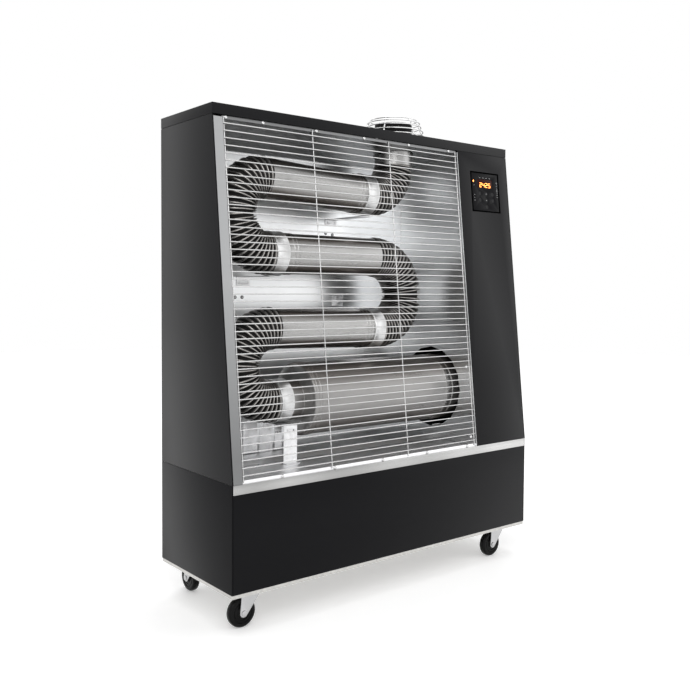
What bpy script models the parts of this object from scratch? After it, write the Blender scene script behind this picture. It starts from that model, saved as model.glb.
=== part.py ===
"""Diesel infrared heater on four casters, modelled as it comes apart on a bench.

Axes: +X along the front from the display's far side to the control side, +Y from the
front to the back, +Z up. The origin is the middle of the footprint, on the ground.
The leaning front is a plane through the seam line: pieces on it are drawn upright
and sheared back with their height, so that their level edges stay level.
"""

import math

import bmesh
import bpy
from mathutils import Vector

# General fits
FIT = 0.0003
OVERRUN = 0.004
ROUND_SIDES = 16
PIPE_SIDES = 14
HOLE_SIDES = 12

# Cabinet
BODY_W = 1.060
BASE_D = 0.364
BASE_H = 0.2622
UPPER_H = 0.8828
LEAN_SETBACK = 0.0951
LID_H = 0.0264
PANEL_WALL = 0.0012
PANEL_RETURN = 0.015
SEAM_GAP = 0.0006
LID_GAP = 0.0008
CORNER_GAP = 0.0015
TRIM_H = 0.0231
TRIM_WALL = 0.001
TRIM_LIP = 0.0045
PAN_STRIP_H = 0.009
PAN_WALL = 0.0015
DECK_DROP = 0.0017
DECK_FLANGE = 0.020

# Rear vents of the burner compartment
VENT_COUNT = 9
VENT_W = 0.110
VENT_H = 0.006
VENT_PITCH = 0.018
VENT_RISE = 0.120

# Radiant chamber, places from the left face, the front plane and the base panels' lower edge
COLUMN_W = 0.2205
FRONT_STRIP_LEFT = 0.0032
FRONT_STRIP_RIGHT = 0.0286
SHEET = 0.001
CHAMBER_BACK_GAP = 0.0206
CEILING_FRONT_DROP = 0.0087
CEILING_BACK_DROP = 0.0394
GRILLE_SET = 0.005
FLOOR_LIP = 0.008
FLOOR_STEP_AHEAD = 0.016
FLOOR_STEP_RUN = 0.013
FLOOR_STEP_RISE = 0.0096
FLOOR_BACK_RISE = 0.0138
CYLINDER_HOLE_CLEARANCE = 0.025
REFLECTOR_TOP_GAP = 0.006
REFLECTOR_FOOT_GAP = 0.003

# Wire grille
WIRE_D = 0.003
WIRE_SIDES = 6
WELD_SINK = 0.0004
GRILLE_BARS = 48
GRILLE_TOP_DROP = 0.0197
GRILLE_BOTTOM_RISE = 0.0196
GRILLE_POST_TOP_DROP = 0.0039
GRILLE_POST_BOTTOM_RISE = 0.0033
GRILLE_POST_LEFT = 0.0329
GRILLE_POST_INSET = 0.0079
GRILLE_POSTS = 4
GRILLE_END = 0.003

# Radiant tube run
PIPE_DEPTH_SHARE = 0.57076
TUBE_OD = 0.110
TUBE_WALL = 0.001
UPPER_LEFT_X = 0.2115
UPPER_RIGHT_GAP = 0.2894
UPPER_DROP = 0.1272
UPPER_FALL = 0.0571
MIDDLE_LEFT_X = 0.2397
MIDDLE_RIGHT_GAP = 0.2537
MIDDLE_RISE_SHARE = 0.667339
LOWER_LEFT_X = 0.2396
LOWER_RIGHT_GAP = 0.2609
LOWER_RISE_SHARE = 0.329803
LOWER_FALL = 0.0218
JOINT_GAP = 0.0006
SLIP = 0.018
BEAD_H = 0.0015
BEAD_W = 0.006
BEAD_PITCH = 0.0118
UPPER_BEAD_INSET = 0.0281
MIDDLE_BEAD_INSET = 0.0393
LOWER_BEAD_INSET = 0.033
COLLAR_W = 0.040
COLLAR_OD = 0.120
COLLAR_BEVEL = 0.002

# Pleated bends: a cubic curve reaches three quarters of its handle at a U's apex
CURVE_SAMPLES = 400
U_APEX_SHARE = 0.75
QUARTER_ARC_SHARE = 0.5523
RIDGE_OD = 0.116
VALLEY_OD = 0.101
BEND_BORE = 0.093
U_BEND_RIBS = 16
ELBOW_RIBS = 8
U_BEND_BORE_STEPS = 8
ELBOW_BORE_STEPS = 4
UPPER_APEX_X = 0.122
RIGHT_APEX_GAP = 0.1325
LOWER_APEX_X = 0.1325

# Combustion cylinder
CYLINDER_BACK_GAP = 0.0474
CYLINDER_WALL = 0.0015
CYLINDER_RISE = 0.1607
CYLINDER_LEFT_X = 0.310
CYLINDER_PAST_WALL = 0.0505
CYLINDER_SHOULDER = 0.006
NECK_LEFT_X = 0.2555
CYLINDER_BEAD_INSET = 0.0172
CYLINDER_FAR_BEAD_INSET = 0.0563
CYLINDER_FAR_BEAD_PITCH = 0.0238

# Stand and brackets of the tube run
STAND_X = 0.260
STAND_W = 0.0435
STAND_WALL = 0.0015
STAND_FOOT = 0.014
STAND_HOLE_D = 0.005
STAND_HOLE_DROP = 0.013
STAND_HOLE_PITCH = 0.021
BRACKET_W = 0.043
BRACKET_WALL = 0.0015
BRACKET_REACH = 0.020
BRACKET_HOLE_D = 0.0045
BRACKET_HOLE_PITCH = 0.027
UPPER_BRACKET_H = 0.018
MIDDLE_BRACKET_H = 0.026
LOWER_BRACKET_H = 0.038
BRACKET_HOLE_EDGE = 0.009

# Flue
FLUE_GAP = 0.1685
FLUE_BOTTOM_DROP = 0.053
FLUE_RISE = 0.042
FLUE_HOLE_CLEARANCE = 0.006
FLUE_BEAD_INSET = 0.012
GUARD_WIRE_D = 0.0035
GUARD_FOOT_D = 0.188
GUARD_TIP_D = 0.126
GUARD_TIP_RISE = 0.062
GUARD_POSTS = 6
GUARD_WIRE_SIDES = 4
GUARD_RING_SIDES = 16
GUARD_RING_1_D = 0.184
GUARD_RING_1_RISE = 0.006
GUARD_RING_2_D = 0.176
GUARD_RING_2_RISE = 0.020
GUARD_RING_3_D = 0.164
GUARD_RING_3_RISE = 0.0336
GUARD_RING_4_D = 0.156
GUARD_RING_4_RISE = 0.045
GUARD_RING_5_D = 0.138
GUARD_RING_5_RISE = 0.0534

# Burner, centred on the combustion cylinder's axis
BLAST_TUBE_OD = 0.070
BLAST_TUBE_WALL = 0.002
BLAST_TUBE_IN = 0.045
BURNER_FLANGE_INSET = 0.007
BURNER_FLANGE_T = 0.003
FAN_FROM_CYLINDER = 0.086
SCROLL_MAX_R = 0.076
SCROLL_MIN_R = 0.060
SCROLL_DEPTH = 0.090
SCROLL_WALL = 0.003
SCROLL_OUTLET_H = 0.076
SCROLL_POINTS = 14
SCROLL_START_DEG = -90.0
SCROLL_TURN_DEG = 280.0
INLET_HOLE_D = 0.018
INLET_HOLES = 5
INLET_CIRCLE_D = 0.076
IMPELLER_D = 0.104
IMPELLER_EYE_D = 0.078
IMPELLER_W = 0.050
IMPELLER_PLATE = 0.002
IMPELLER_BLADES = 12
BLADE_T = 0.0012
BLADE_SWEEP_DEG = 14.0
IMPELLER_HUB_D = 0.024
SHAFT_D = 0.010
SHAFT_IN = 0.018
MOTOR_D = 0.094
MOTOR_REAR_GAP = 0.021
MOTOR_FLANGE_D = 0.142
MOTOR_FLANGE_T = 0.004
MOTOR_CAP_D = 0.060
MOTOR_CAP_L = 0.010
MOTOR_RIBS = 3
MOTOR_RIB_H = 0.002
PUMP_D = 0.050
PUMP_L = 0.036
PUMP_NOSE_D = 0.030
PUMP_NOSE_L = 0.014
TRANSFORMER_FROM_WALL = 0.0655
TRANSFORMER_REAR = 0.039
TRANSFORMER_W = 0.085
TRANSFORMER_D = 0.062
TRANSFORMER_H = 0.075
TRANSFORMER_ROUND = 0.004
TRANSFORMER_ROUND_STEPS = 1
INSULATOR_D = 0.016
INSULATOR_L = 0.022
INSULATOR_PITCH = 0.034

# Fuel tank and its cap
TANK_SIDE_GAP = 0.080
TANK_FRONT_GAP = 0.038
TANK_REAR_GAP = 0.026
TANK_TOP_GAP = 0.0572
TANK_WALL = 0.0025
TANK_ROUND = 0.030
TANK_ROUND_STEPS = 3
NECK_FROM_RIGHT = 0.240
FILLER_OD = 0.052
FILLER_WALL = 0.003
FILLER_TILT_DEG = 30.0
FILLER_OUT = 0.004
FILLER_IN = 0.060
FILLER_DROP = 0.062
FILLER_HOLE_CLEARANCE = 0.005
CAP_D = 0.062
CAP_H = 0.018
CAP_WALL = 0.0025
CAP_LUGS = 4
CAP_LUG_H = 0.003
CAP_LUG_W = 0.010

# Fuel hose
HOSE_D = 0.010
HOSE_POINTS = 22
HOSE_BARB_L = 0.012
HOSE_FROM_FAN = 0.011
HOSE_Y = 0.060
HOSE_HOLE_D = 0.020

# Mains inlet
GLAND_FROM_RIGHT = 0.120
GLAND_Z = 0.070
GLAND_HEX_W = 0.024
GLAND_HEX_L = 0.006
GLAND_DOME_D = 0.019
GLAND_DOME_L = 0.014
GLAND_BORE_D = 0.009
GLAND_THREAD_D = 0.016
GLAND_THREAD_L = 0.010

# Control panel
PANEL_MARGIN = 0.0526
PANEL_W = 0.1244
PANEL_TOP_GAP = 0.0568
PANEL_H = 0.1225
PANEL_SIDE_GAP = 0.0022
PANEL_END_GAP = 0.0008
PANEL_SET = 0.0005
PANEL_T = 0.007
PANEL_LIP = 0.006
DISPLAY_W = 0.066
DISPLAY_H = 0.026
DISPLAY_DEPTH = 0.001
DISPLAY_CENTRE_SHARE = (0.50, 0.72)
KEY_D = 0.012
KEY_L = 0.0068
KEY_PROUD = 0.0004
KEY_TRAVEL = 0.0005
KEY_SIDES = 10
KEY_PLACE_SHARES = (
    (0.29, 0.46),
    (0.52, 0.46),
    (0.75, 0.46),
    (0.29, 0.30),
    (0.52, 0.30),
    (0.75, 0.30),
    (0.52, 0.13),
)
BOARD_MARGIN = 0.004
BOARD_DEPTH = 0.034

# Casters
CASTER_H = 0.093
WHEEL_D = 0.075
WHEEL_W = 0.022
WHEEL_EDGE = 0.004
WHEEL_RIM_D = 0.052
WHEEL_HUB_D = 0.026
WHEEL_DISH = 0.003
AXLE_D = 0.010
AXLE_HEAD_D = 0.014
AXLE_HEAD_T = 0.003
CASTER_INSET_X = 0.078
CASTER_FRONT_Y = 0.053
CASTER_REAR_INSET = 0.036
CASTER_TRAIL = 0.022
PLATE_W = 0.060
PLATE_T = 0.0025
RACE_D = 0.044
RACE_RIM_D = 0.038
CROWN_D = 0.046
CROWN_T = 0.0025
FORK_WALL = 0.0025
FORK_SIDE_GAP = 0.0015
FORK_END_R = 0.011
FORK_ARC_STEPS = 5
FORK_ARC_START_DEG = 205.0
FORK_ARC_END_DEG = 380.0

# Places that follow from the sizes
BASE_Z = CASTER_H + PAN_STRIP_H
SEAM_Z = BASE_Z + BASE_H
LID_Z = SEAM_Z + UPPER_H
TOP_Z = LID_Z + LID_H
WHEEL_R = WHEEL_D / 2
REAR_REACH = CASTER_TRAIL + WHEEL_R - CASTER_REAR_INSET
FRONT_Y = -(BASE_D + REAR_REACH) / 2
LEAN = LEAN_SETBACK / UPPER_H
LEAN_ANGLE = math.atan(LEAN)
DECK_TOP_Z = SEAM_Z - DECK_DROP
FLUE_RIM_Z = TOP_Z + FLUE_RISE
BODY_TOP_Z = BASE_H + UPPER_H
CEILING_FRONT_Z = BODY_TOP_Z - CEILING_FRONT_DROP
CEILING_BACK_Z = BODY_TOP_Z - CEILING_BACK_DROP
GRILLE_TOP_Z = BODY_TOP_Z - GRILLE_TOP_DROP
GRILLE_BOTTOM_Z = BASE_H + GRILLE_BOTTOM_RISE
GRILLE_POST_TOP_Z = BODY_TOP_Z - GRILLE_POST_TOP_DROP
GRILLE_POST_BOTTOM_Z = BASE_H + GRILLE_POST_BOTTOM_RISE
FLUE_BOTTOM_Z = BODY_TOP_Z - FLUE_BOTTOM_DROP
UPPER_Z = BODY_TOP_Z - UPPER_DROP
CYLINDER_Z = BASE_H + CYLINDER_RISE
MIDDLE_Z = CYLINDER_Z + MIDDLE_RISE_SHARE * (UPPER_Z - CYLINDER_Z)
LOWER_Z = CYLINDER_Z + LOWER_RISE_SHARE * (UPPER_Z - CYLINDER_Z)
COLUMN_LEFT = BODY_W - COLUMN_W
CHAMBER_RIGHT = COLUMN_LEFT - SHEET - FIT
CHAMBER_BACK = BASE_D - CHAMBER_BACK_GAP
PIPE_Y = CHAMBER_BACK * PIPE_DEPTH_SHARE
FLOOR_STEP_Y = PIPE_Y - FLOOR_STEP_AHEAD
CYLINDER_OD = 2 * (CHAMBER_BACK - PIPE_Y - CYLINDER_BACK_GAP)
CYLINDER_HOLE_D = CYLINDER_OD + 2 * CYLINDER_HOLE_CLEARANCE
BURNER_FLANGE_D = CYLINDER_OD - 2 * BURNER_FLANGE_INSET
GRILLE_POST_RIGHT = COLUMN_LEFT - GRILLE_POST_INSET
UPPER_RIGHT_X = COLUMN_LEFT - UPPER_RIGHT_GAP
MIDDLE_RIGHT_X = COLUMN_LEFT - MIDDLE_RIGHT_GAP
LOWER_RIGHT_X = COLUMN_LEFT - LOWER_RIGHT_GAP
RIGHT_APEX_X = COLUMN_LEFT - RIGHT_APEX_GAP
FLUE_X = COLUMN_LEFT - FLUE_GAP
CYLINDER_RIGHT_X = COLUMN_LEFT + CYLINDER_PAST_WALL
FAN_X = CYLINDER_RIGHT_X + FAN_FROM_CYLINDER
MOTOR_L = BASE_D - PIPE_Y - SCROLL_DEPTH / 2 - MOTOR_FLANGE_T - MOTOR_CAP_L - MOTOR_REAR_GAP
TRANSFORMER_X = COLUMN_LEFT + TRANSFORMER_FROM_WALL
TRANSFORMER_Y = BASE_D - TRANSFORMER_REAR
TANK_L = BODY_W - 2 * TANK_SIDE_GAP
TANK_H = BASE_H - TANK_TOP_GAP
TANK_D = BASE_D - TANK_FRONT_GAP - TANK_REAR_GAP
TANK_Y = TANK_FRONT_GAP + TANK_D / 2
NECK_X = BODY_W - NECK_FROM_RIGHT
HOSE_X = FAN_X - HOSE_FROM_FAN
GLAND_X = BODY_W - GLAND_FROM_RIGHT
PANEL_LEFT = COLUMN_LEFT + PANEL_MARGIN
PANEL_BOTTOM_Z = BODY_TOP_Z - PANEL_TOP_GAP - PANEL_H

# Finishes: colour, metallic, roughness
FINISHES = {
    "black_powder_coat": ((0.020, 0.020, 0.021), 0.0, 0.42),
    "galvanised": ((0.46, 0.44, 0.40), 0.8, 0.45),
    "brushed_steel": ((0.62, 0.62, 0.61), 1.0, 0.30),
    "polished_reflector": ((0.80, 0.81, 0.82), 1.0, 0.14),
    "chrome_wire": ((0.86, 0.86, 0.86), 1.0, 0.10),
    "tinted_steel": ((0.48, 0.44, 0.41), 1.0, 0.34),
    "pleated_steel": ((0.40, 0.36, 0.33), 1.0, 0.30),
    "collar_steel": ((0.72, 0.71, 0.70), 1.0, 0.24),
    "zinc": ((0.66, 0.66, 0.66), 1.0, 0.28),
    "cast_aluminium": ((0.50, 0.50, 0.50), 0.9, 0.50),
    "motor_grey": ((0.12, 0.13, 0.14), 0.1, 0.50),
    "tank_black": ((0.035, 0.035, 0.035), 0.0, 0.60),
    "gloss_black": ((0.012, 0.012, 0.013), 0.0, 0.12),
    "key_grey": ((0.060, 0.060, 0.062), 0.0, 0.30),
    "caster_rubber": ((0.016, 0.016, 0.016), 0.0, 0.25),
    "hose_rubber": ((0.022, 0.022, 0.022), 0.0, 0.55),
}

SMOOTH_ANGLE_DEG = 32.0


def from_left(x):
    """X of a place measured from the cabinet's left face."""
    return x - BODY_W / 2


def from_front(y):
    """Y of a place measured from the front plane."""
    return FRONT_Y + y


def above_base(z):
    """Z of a place measured from the base panels' lower edge."""
    return BASE_Z + z


def lean_y(z, depth):
    """Y on the leaning front at height z, depth behind its plane."""
    return FRONT_Y + (z - SEAM_Z) * LEAN + depth


def finish_material(name, finish):
    """Make the material that one object wears."""
    colour, metallic, roughness = FINISHES[finish]
    material = bpy.data.materials.new(name)
    material.use_nodes = True
    shader = material.node_tree.nodes["Principled BSDF"]
    shader.inputs["Base Color"].default_value = (*colour, 1.0)
    shader.inputs["Metallic"].default_value = metallic
    shader.inputs["Roughness"].default_value = roughness
    return material


def new_object(name, bm, finish):
    """Turn a bmesh into a named object with its own finish."""
    bmesh.ops.recalc_face_normals(bm, faces=bm.faces)
    mesh = bpy.data.meshes.new(name)
    bm.to_mesh(mesh)
    bm.free()
    mesh.shade_smooth()
    mesh.set_sharp_from_angle(angle=math.radians(SMOOTH_ANGLE_DEG))
    obj = bpy.data.objects.new(name, mesh)
    bpy.context.scene.collection.objects.link(obj)
    mesh.materials.append(finish_material(name, finish))
    return obj


def combine(obj, bm, operation):
    """Join or cut obj with the closed shapes in bm, by an exact Boolean."""
    bmesh.ops.recalc_face_normals(bm, faces=bm.faces)
    mesh = bpy.data.meshes.new(obj.name + "_tool")
    bm.to_mesh(mesh)
    bm.free()
    mesh.shade_smooth()
    mesh.set_sharp_from_angle(angle=math.radians(SMOOTH_ANGLE_DEG))
    tool = bpy.data.objects.new(mesh.name, mesh)
    bpy.context.scene.collection.objects.link(tool)
    tool.parent = obj
    tool.matrix_parent_inverse = obj.matrix_basis.inverted()
    tool.hide_render = True
    tool.display_type = "WIRE"
    modifier = obj.modifiers.new(operation.title(), "BOOLEAN")
    modifier.operation = operation
    modifier.solver = "EXACT"
    modifier.object = tool
    return obj


def move_origin(obj, point):
    """Put obj's origin on its joint axis without moving its surface."""
    offset = Vector(point)
    for vertex in obj.data.vertices:
        vertex.co -= offset
    obj.location = offset
    for child in obj.children:
        child.matrix_parent_inverse.identity()
        child.location = -offset


def loft(bm, sections, looped=False):
    """Skin a row of sections with equal point counts, capped or closed into a ring."""
    rows = [[bm.verts.new(point) for point in section] for section in sections]
    count = len(rows[0])
    pairs = list(zip(rows, rows[1:]))
    if looped:
        pairs.append((rows[-1], rows[0]))
    else:
        bm.faces.new(rows[0])
        bm.faces.new(rows[-1])
    for near, far in pairs:
        for i in range(count):
            j = (i + 1) % count
            bm.faces.new((near[i], near[j], far[j], far[i]))
    return bm


def box(bm, low, high):
    """Add a box between two corners."""
    x0, y0, z0 = low
    x1, y1, z1 = high
    foot = [(x0, y0, z0), (x1, y0, z0), (x1, y1, z0), (x0, y1, z0)]
    head = [(x, y, z1) for x, y, z in foot]
    return loft(bm, [foot, head])


def axis_frame(direction):
    """Two unit vectors square to a direction and to each other."""
    along = Vector(direction).normalized()
    helper = Vector((0, 1, 0))
    if abs(along.dot(helper)) > math.cos(math.radians(SMOOTH_ANGLE_DEG)):
        helper = Vector((1, 0, 0))
    side = along.cross(helper).normalized()
    return along, side, side.cross(along)


def ring(centre, side, over, radius, count, turn=0.0):
    """Points of a circle spanned by two unit vectors."""
    points = []
    for i in range(count):
        angle = turn + 2 * math.pi * i / count
        points.append(centre + side * (radius * math.cos(angle)) + over * (radius * math.sin(angle)))
    return points


def turned(bm, origin, direction, outline, count=ROUND_SIDES, looped=False, turn=0.0):
    """Revolve an outline of (distance along, radius) pairs; looped keeps a bore."""
    along, side, over = axis_frame(direction)
    start = Vector(origin)
    sections = [
        ring(start + along * distance, side, over, radius, count, turn)
        for distance, radius in outline
    ]
    return loft(bm, sections, looped)


def rod(bm, start, end, diameter, count=ROUND_SIDES, turn=0.0):
    """Add a plain round bar between two points."""
    span = Vector(end) - Vector(start)
    outline = [(0, diameter / 2), (span.length, diameter / 2)]
    return turned(bm, start, span, outline, count, turn=turn)


def inset_outline(points, distance):
    """Move each side of a convex outline, given anticlockwise, inwards by a distance."""
    result = []
    count = len(points)
    for i in range(count):
        before = Vector(points[i - 1])
        here = Vector(points[i])
        after = Vector(points[(i + 1) % count])
        first = (here - before).normalized()
        second = (after - here).normalized()
        first_normal = Vector((-first.y, first.x))
        second_normal = Vector((-second.y, second.x))
        blend = first_normal + second_normal
        result.append(here + blend * (2 * distance / blend.length_squared))
    return result


def tray(bm, outline, wall, depth, place):
    """A folded sheet: a flat face with its edges returned, open at the back.

    place turns (u, v, w) into a point, with w the distance behind the face.
    """
    inner = inset_outline(outline, wall)
    levels = ((outline, 0), (outline, depth), (inner, depth), (inner, wall))
    sections = [[place(u, v, w) for u, v in points] for points, w in levels]
    return loft(bm, sections)


def sheet_section(path, wall):
    """Give an open path of (u, v) points a thickness on its left side."""
    points = [Vector(point) for point in path]
    far = []
    for i, here in enumerate(points):
        normals = []
        if i > 0:
            step = (here - points[i - 1]).normalized()
            normals.append(Vector((-step.y, step.x)))
        if i < len(points) - 1:
            step = (points[i + 1] - here).normalized()
            normals.append(Vector((-step.y, step.x)))
        blend = sum(normals, Vector((0, 0)))
        far.append(here + blend * (len(normals) * wall / blend.length_squared))
    return points + far[::-1]


def rounded_outline(width, depth, radius, steps):
    """A centred rectangle with round corners, anticlockwise."""
    points = []
    corners = ((1, 1), (-1, 1), (-1, -1), (1, -1))
    for index, (sx, sy) in enumerate(corners):
        cx = sx * (width / 2 - radius)
        cy = sy * (depth / 2 - radius)
        for step in range(steps + 1):
            angle = math.pi / 2 * (index + step / steps)
            points.append((cx + radius * math.cos(angle), cy + radius * math.sin(angle)))
    return points


# Cabinet


def make_base_pan():
    """Galvanised floor pan with its low rim and the four caster plates."""
    x_edge = BODY_W / 2 - PANEL_WALL - FIT
    y_front = from_front(TRIM_WALL + PANEL_WALL + FIT)
    y_back = from_front(BASE_D) - PANEL_WALL - FIT
    outline = [(-x_edge, y_front), (x_edge, y_front), (x_edge, y_back), (-x_edge, y_back)]
    bm = tray(bmesh.new(), outline, PAN_WALL, PAN_STRIP_H - FIT, lambda u, v, w: (u, v, CASTER_H + w))
    pan = new_object("base_pan", bm, "galvanised")
    plates = bmesh.new()
    for x, y, _ in caster_places():
        low = (x - PLATE_W / 2, y - PLATE_W / 2, CASTER_H - PLATE_T)
        high = (x + PLATE_W / 2, y + PLATE_W / 2, CASTER_H + PAN_WALL / 2)
        box(plates, low, high)
    return combine(pan, plates, "UNION")


def make_base_front_panel():
    """Black front panel of the base, below the trim strip."""
    x_edge = BODY_W / 2 - PANEL_WALL - CORNER_GAP
    top = SEAM_Z - TRIM_H - FIT
    outline = [(-x_edge, BASE_Z), (x_edge, BASE_Z), (x_edge, top), (-x_edge, top)]
    y_face = from_front(TRIM_WALL)
    bm = tray(bmesh.new(), outline, PANEL_WALL, PANEL_RETURN, lambda u, v, w: (u, y_face + w, v))
    return new_object("base_front_panel", bm, "black_powder_coat")


def filler_axis():
    """Mouth centre and outward direction of the tank's filler neck."""
    tilt = math.radians(FILLER_TILT_DEG)
    direction = Vector((0, math.cos(tilt), math.sin(tilt)))
    mouth = Vector((from_left(NECK_X), from_front(BASE_D), SEAM_Z - FILLER_DROP))
    return mouth + direction * FILLER_OUT, direction


def make_base_shell():
    """Left side, back and right side of the base, folded from one sheet."""
    x_edge = BODY_W / 2
    y_front = from_front(TRIM_WALL)
    y_back = from_front(BASE_D)
    path = [(x_edge, y_front), (x_edge, y_back), (-x_edge, y_back), (-x_edge, y_front)]
    section = sheet_section(path, PANEL_WALL)
    top = SEAM_Z - SEAM_GAP / 2
    bm = loft(bmesh.new(), [[(u, v, z) for u, v in section] for z in (BASE_Z, top)])
    shell = new_object("base_shell", bm, "black_powder_coat")
    holes = bmesh.new()
    mouth, direction = filler_axis()
    reach = direction * (CAP_D / 2 + FILLER_OUT)
    rod(holes, mouth - reach, mouth + reach, CAP_D + 2 * CAP_LUG_H + FILLER_HOLE_CLEARANCE)
    gland = Vector((from_left(GLAND_X), y_back, above_base(GLAND_Z)))
    along = Vector((0, OVERRUN, 0))
    rod(holes, gland - along, gland + along, GLAND_THREAD_D + 2 * FIT, HOLE_SIDES)
    return combine(shell, holes, "DIFFERENCE")


def make_base_deck():
    """Sheet between the base and the chamber, edges turned down."""
    x_edge = BODY_W / 2 - PANEL_WALL - FIT
    y_front = from_front(TRIM_LIP + FIT)
    y_back = from_front(BASE_D) - PANEL_WALL - FIT
    outline = [(-x_edge, y_front), (x_edge, y_front), (x_edge, y_back), (-x_edge, y_back)]
    bm = tray(bmesh.new(), outline, PANEL_WALL, DECK_FLANGE, lambda u, v, w: (u, v, DECK_TOP_Z - w))
    deck = new_object("base_deck", bm, "galvanised")
    hole = bmesh.new()
    place = Vector((from_left(HOSE_X), from_front(HOSE_Y), DECK_TOP_Z))
    reach = Vector((0, 0, OVERRUN))
    rod(hole, place - reach, place + reach, HOSE_HOLE_D, HOLE_SIDES)
    return combine(deck, hole, "DIFFERENCE")


def make_trim_strip():
    """Brushed strip across the front at the seam, a shallow channel."""
    x_edge = BODY_W / 2 - PANEL_WALL - CORNER_GAP
    y_face = from_front(0)
    y_back = from_front(TRIM_LIP)
    low = SEAM_Z - TRIM_H
    path = [(y_back, low), (y_face, low), (y_face, SEAM_Z), (y_back, SEAM_Z)]
    section = sheet_section(path, -TRIM_WALL)
    bm = loft(bmesh.new(), [[(x, u, v) for u, v in section] for x in (-x_edge, x_edge)])
    return new_object("trim_strip", bm, "brushed_steel")


def make_side_panel(name, side):
    """Upper side panel: leaning front edge, back edge turned inwards."""
    x_outer = side * BODY_W / 2
    y_back = from_front(BASE_D) - PANEL_WALL - FIT
    x_return = x_outer - side * PANEL_RETURN
    sections = []
    for z in (SEAM_Z + SEAM_GAP / 2, LID_Z - LID_GAP):
        path = [(x_outer, lean_y(z, 0)), (x_outer, y_back), (x_return, y_back)]
        sections.append([(u, v, z) for u, v in sheet_section(path, side * PANEL_WALL)])
    return new_object(name, loft(bmesh.new(), sections), "black_powder_coat")


def make_rear_panel():
    """Back of the upper cabinet, with the burner's air vents."""
    x_edge = BODY_W / 2
    low = SEAM_Z + SEAM_GAP / 2
    top = LID_Z - LID_GAP
    outline = [(x_edge, low), (x_edge, top), (-x_edge, top), (-x_edge, low)]
    y_face = from_front(BASE_D)
    bm = loft(bmesh.new(), [[(u, y_face - w, v) for u, v in outline] for w in (0, PANEL_WALL)])
    panel = new_object("rear_panel", bm, "black_powder_coat")
    slots = bmesh.new()
    centre = (from_left(CHAMBER_RIGHT) + BODY_W / 2) / 2
    for i in range(VENT_COUNT):
        z = SEAM_Z + VENT_RISE + i * VENT_PITCH
        low_corner = (centre - VENT_W / 2, y_face - OVERRUN, z)
        high_corner = (centre + VENT_W / 2, y_face + OVERRUN, z + VENT_H)
        box(slots, low_corner, high_corner)
    return combine(panel, slots, "DIFFERENCE")


def make_lid():
    """Top cover with its edges turned down, and the flue's hole."""
    y_front = from_front(LEAN_SETBACK)
    y_back = from_front(BASE_D)
    x_edge = BODY_W / 2
    outline = [(-x_edge, y_front), (x_edge, y_front), (x_edge, y_back), (-x_edge, y_back)]
    bm = tray(bmesh.new(), outline, PANEL_WALL, LID_H, lambda u, v, w: (u, v, TOP_Z - w))
    lid = new_object("lid", bm, "black_powder_coat")
    hole = bmesh.new()
    centre = Vector((from_left(FLUE_X), from_front(PIPE_Y), TOP_Z))
    reach = Vector((0, 0, OVERRUN))
    rod(hole, centre - reach, centre + reach, TUBE_OD + 2 * FLUE_HOLE_CLEARANCE, GUARD_RING_SIDES)
    return combine(lid, hole, "DIFFERENCE")


def make_control_column():
    """Black cover in front of the burner compartment, with the panel's opening."""
    left = from_left(COLUMN_LEFT)
    right = BODY_W / 2 - PANEL_WALL - CORNER_GAP
    low = SEAM_Z + SEAM_GAP
    top = LID_Z - LID_GAP
    outline = [(left, low), (right, low), (right, top), (left, top)]
    bm = tray(
        bmesh.new(), outline, PANEL_WALL, PANEL_RETURN, lambda u, v, w: (u, lean_y(v, w), v)
    )
    column = new_object("control_column", bm, "black_powder_coat")
    opening = bmesh.new()
    x0 = from_left(PANEL_LEFT) - PANEL_SIDE_GAP
    x1 = from_left(PANEL_LEFT + PANEL_W) + PANEL_SIDE_GAP
    z0 = above_base(PANEL_BOTTOM_Z) - PANEL_END_GAP
    z1 = above_base(PANEL_BOTTOM_Z + PANEL_H) + PANEL_END_GAP
    corners = [(x0, z0), (x1, z0), (x1, z1), (x0, z1)]
    levels = (-OVERRUN, OVERRUN)
    loft(opening, [[(x, lean_y(z, w), z) for x, z in corners] for w in levels])
    return combine(column, opening, "DIFFERENCE")


# Radiant chamber


def make_reflector_left():
    """Left wall of the chamber, folded round to the brushed strip at the front."""
    x_strip = from_left(FRONT_STRIP_LEFT)
    x_wall = from_left(FRONT_STRIP_RIGHT)
    y_back = from_front(CHAMBER_BACK) - FIT
    sections = []
    for z in (SEAM_Z + SEAM_GAP, LID_Z - REFLECTOR_TOP_GAP):
        y_front = lean_y(z, 0)
        path = [(x_strip, y_front), (x_wall, y_front), (x_wall, y_back)]
        sections.append([(u, v, z) for u, v in sheet_section(path, SHEET)])
    return new_object("reflector_left", loft(bmesh.new(), sections), "polished_reflector")


def make_reflector_right():
    """Right wall of the chamber, with the hole that the cylinder passes."""
    y_back = from_front(CHAMBER_BACK) - FIT
    low = SEAM_Z + SEAM_GAP
    top = LID_Z - REFLECTOR_TOP_GAP
    outline = [(lean_y(low, 0), low), (y_back, low), (y_back, top), (lean_y(top, 0), top)]
    x_wall = from_left(CHAMBER_RIGHT)
    bm = loft(bmesh.new(), [[(x_wall + w, u, v) for u, v in outline] for w in (0, SHEET)])
    wall = new_object("reflector_right", bm, "polished_reflector")
    hole = bmesh.new()
    centre = Vector((x_wall, from_front(PIPE_Y), above_base(CYLINDER_Z)))
    reach = Vector((OVERRUN, 0, 0))
    rod(hole, centre - reach, centre + reach, CYLINDER_HOLE_D, GUARD_RING_SIDES)
    return combine(wall, hole, "DIFFERENCE")


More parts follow.
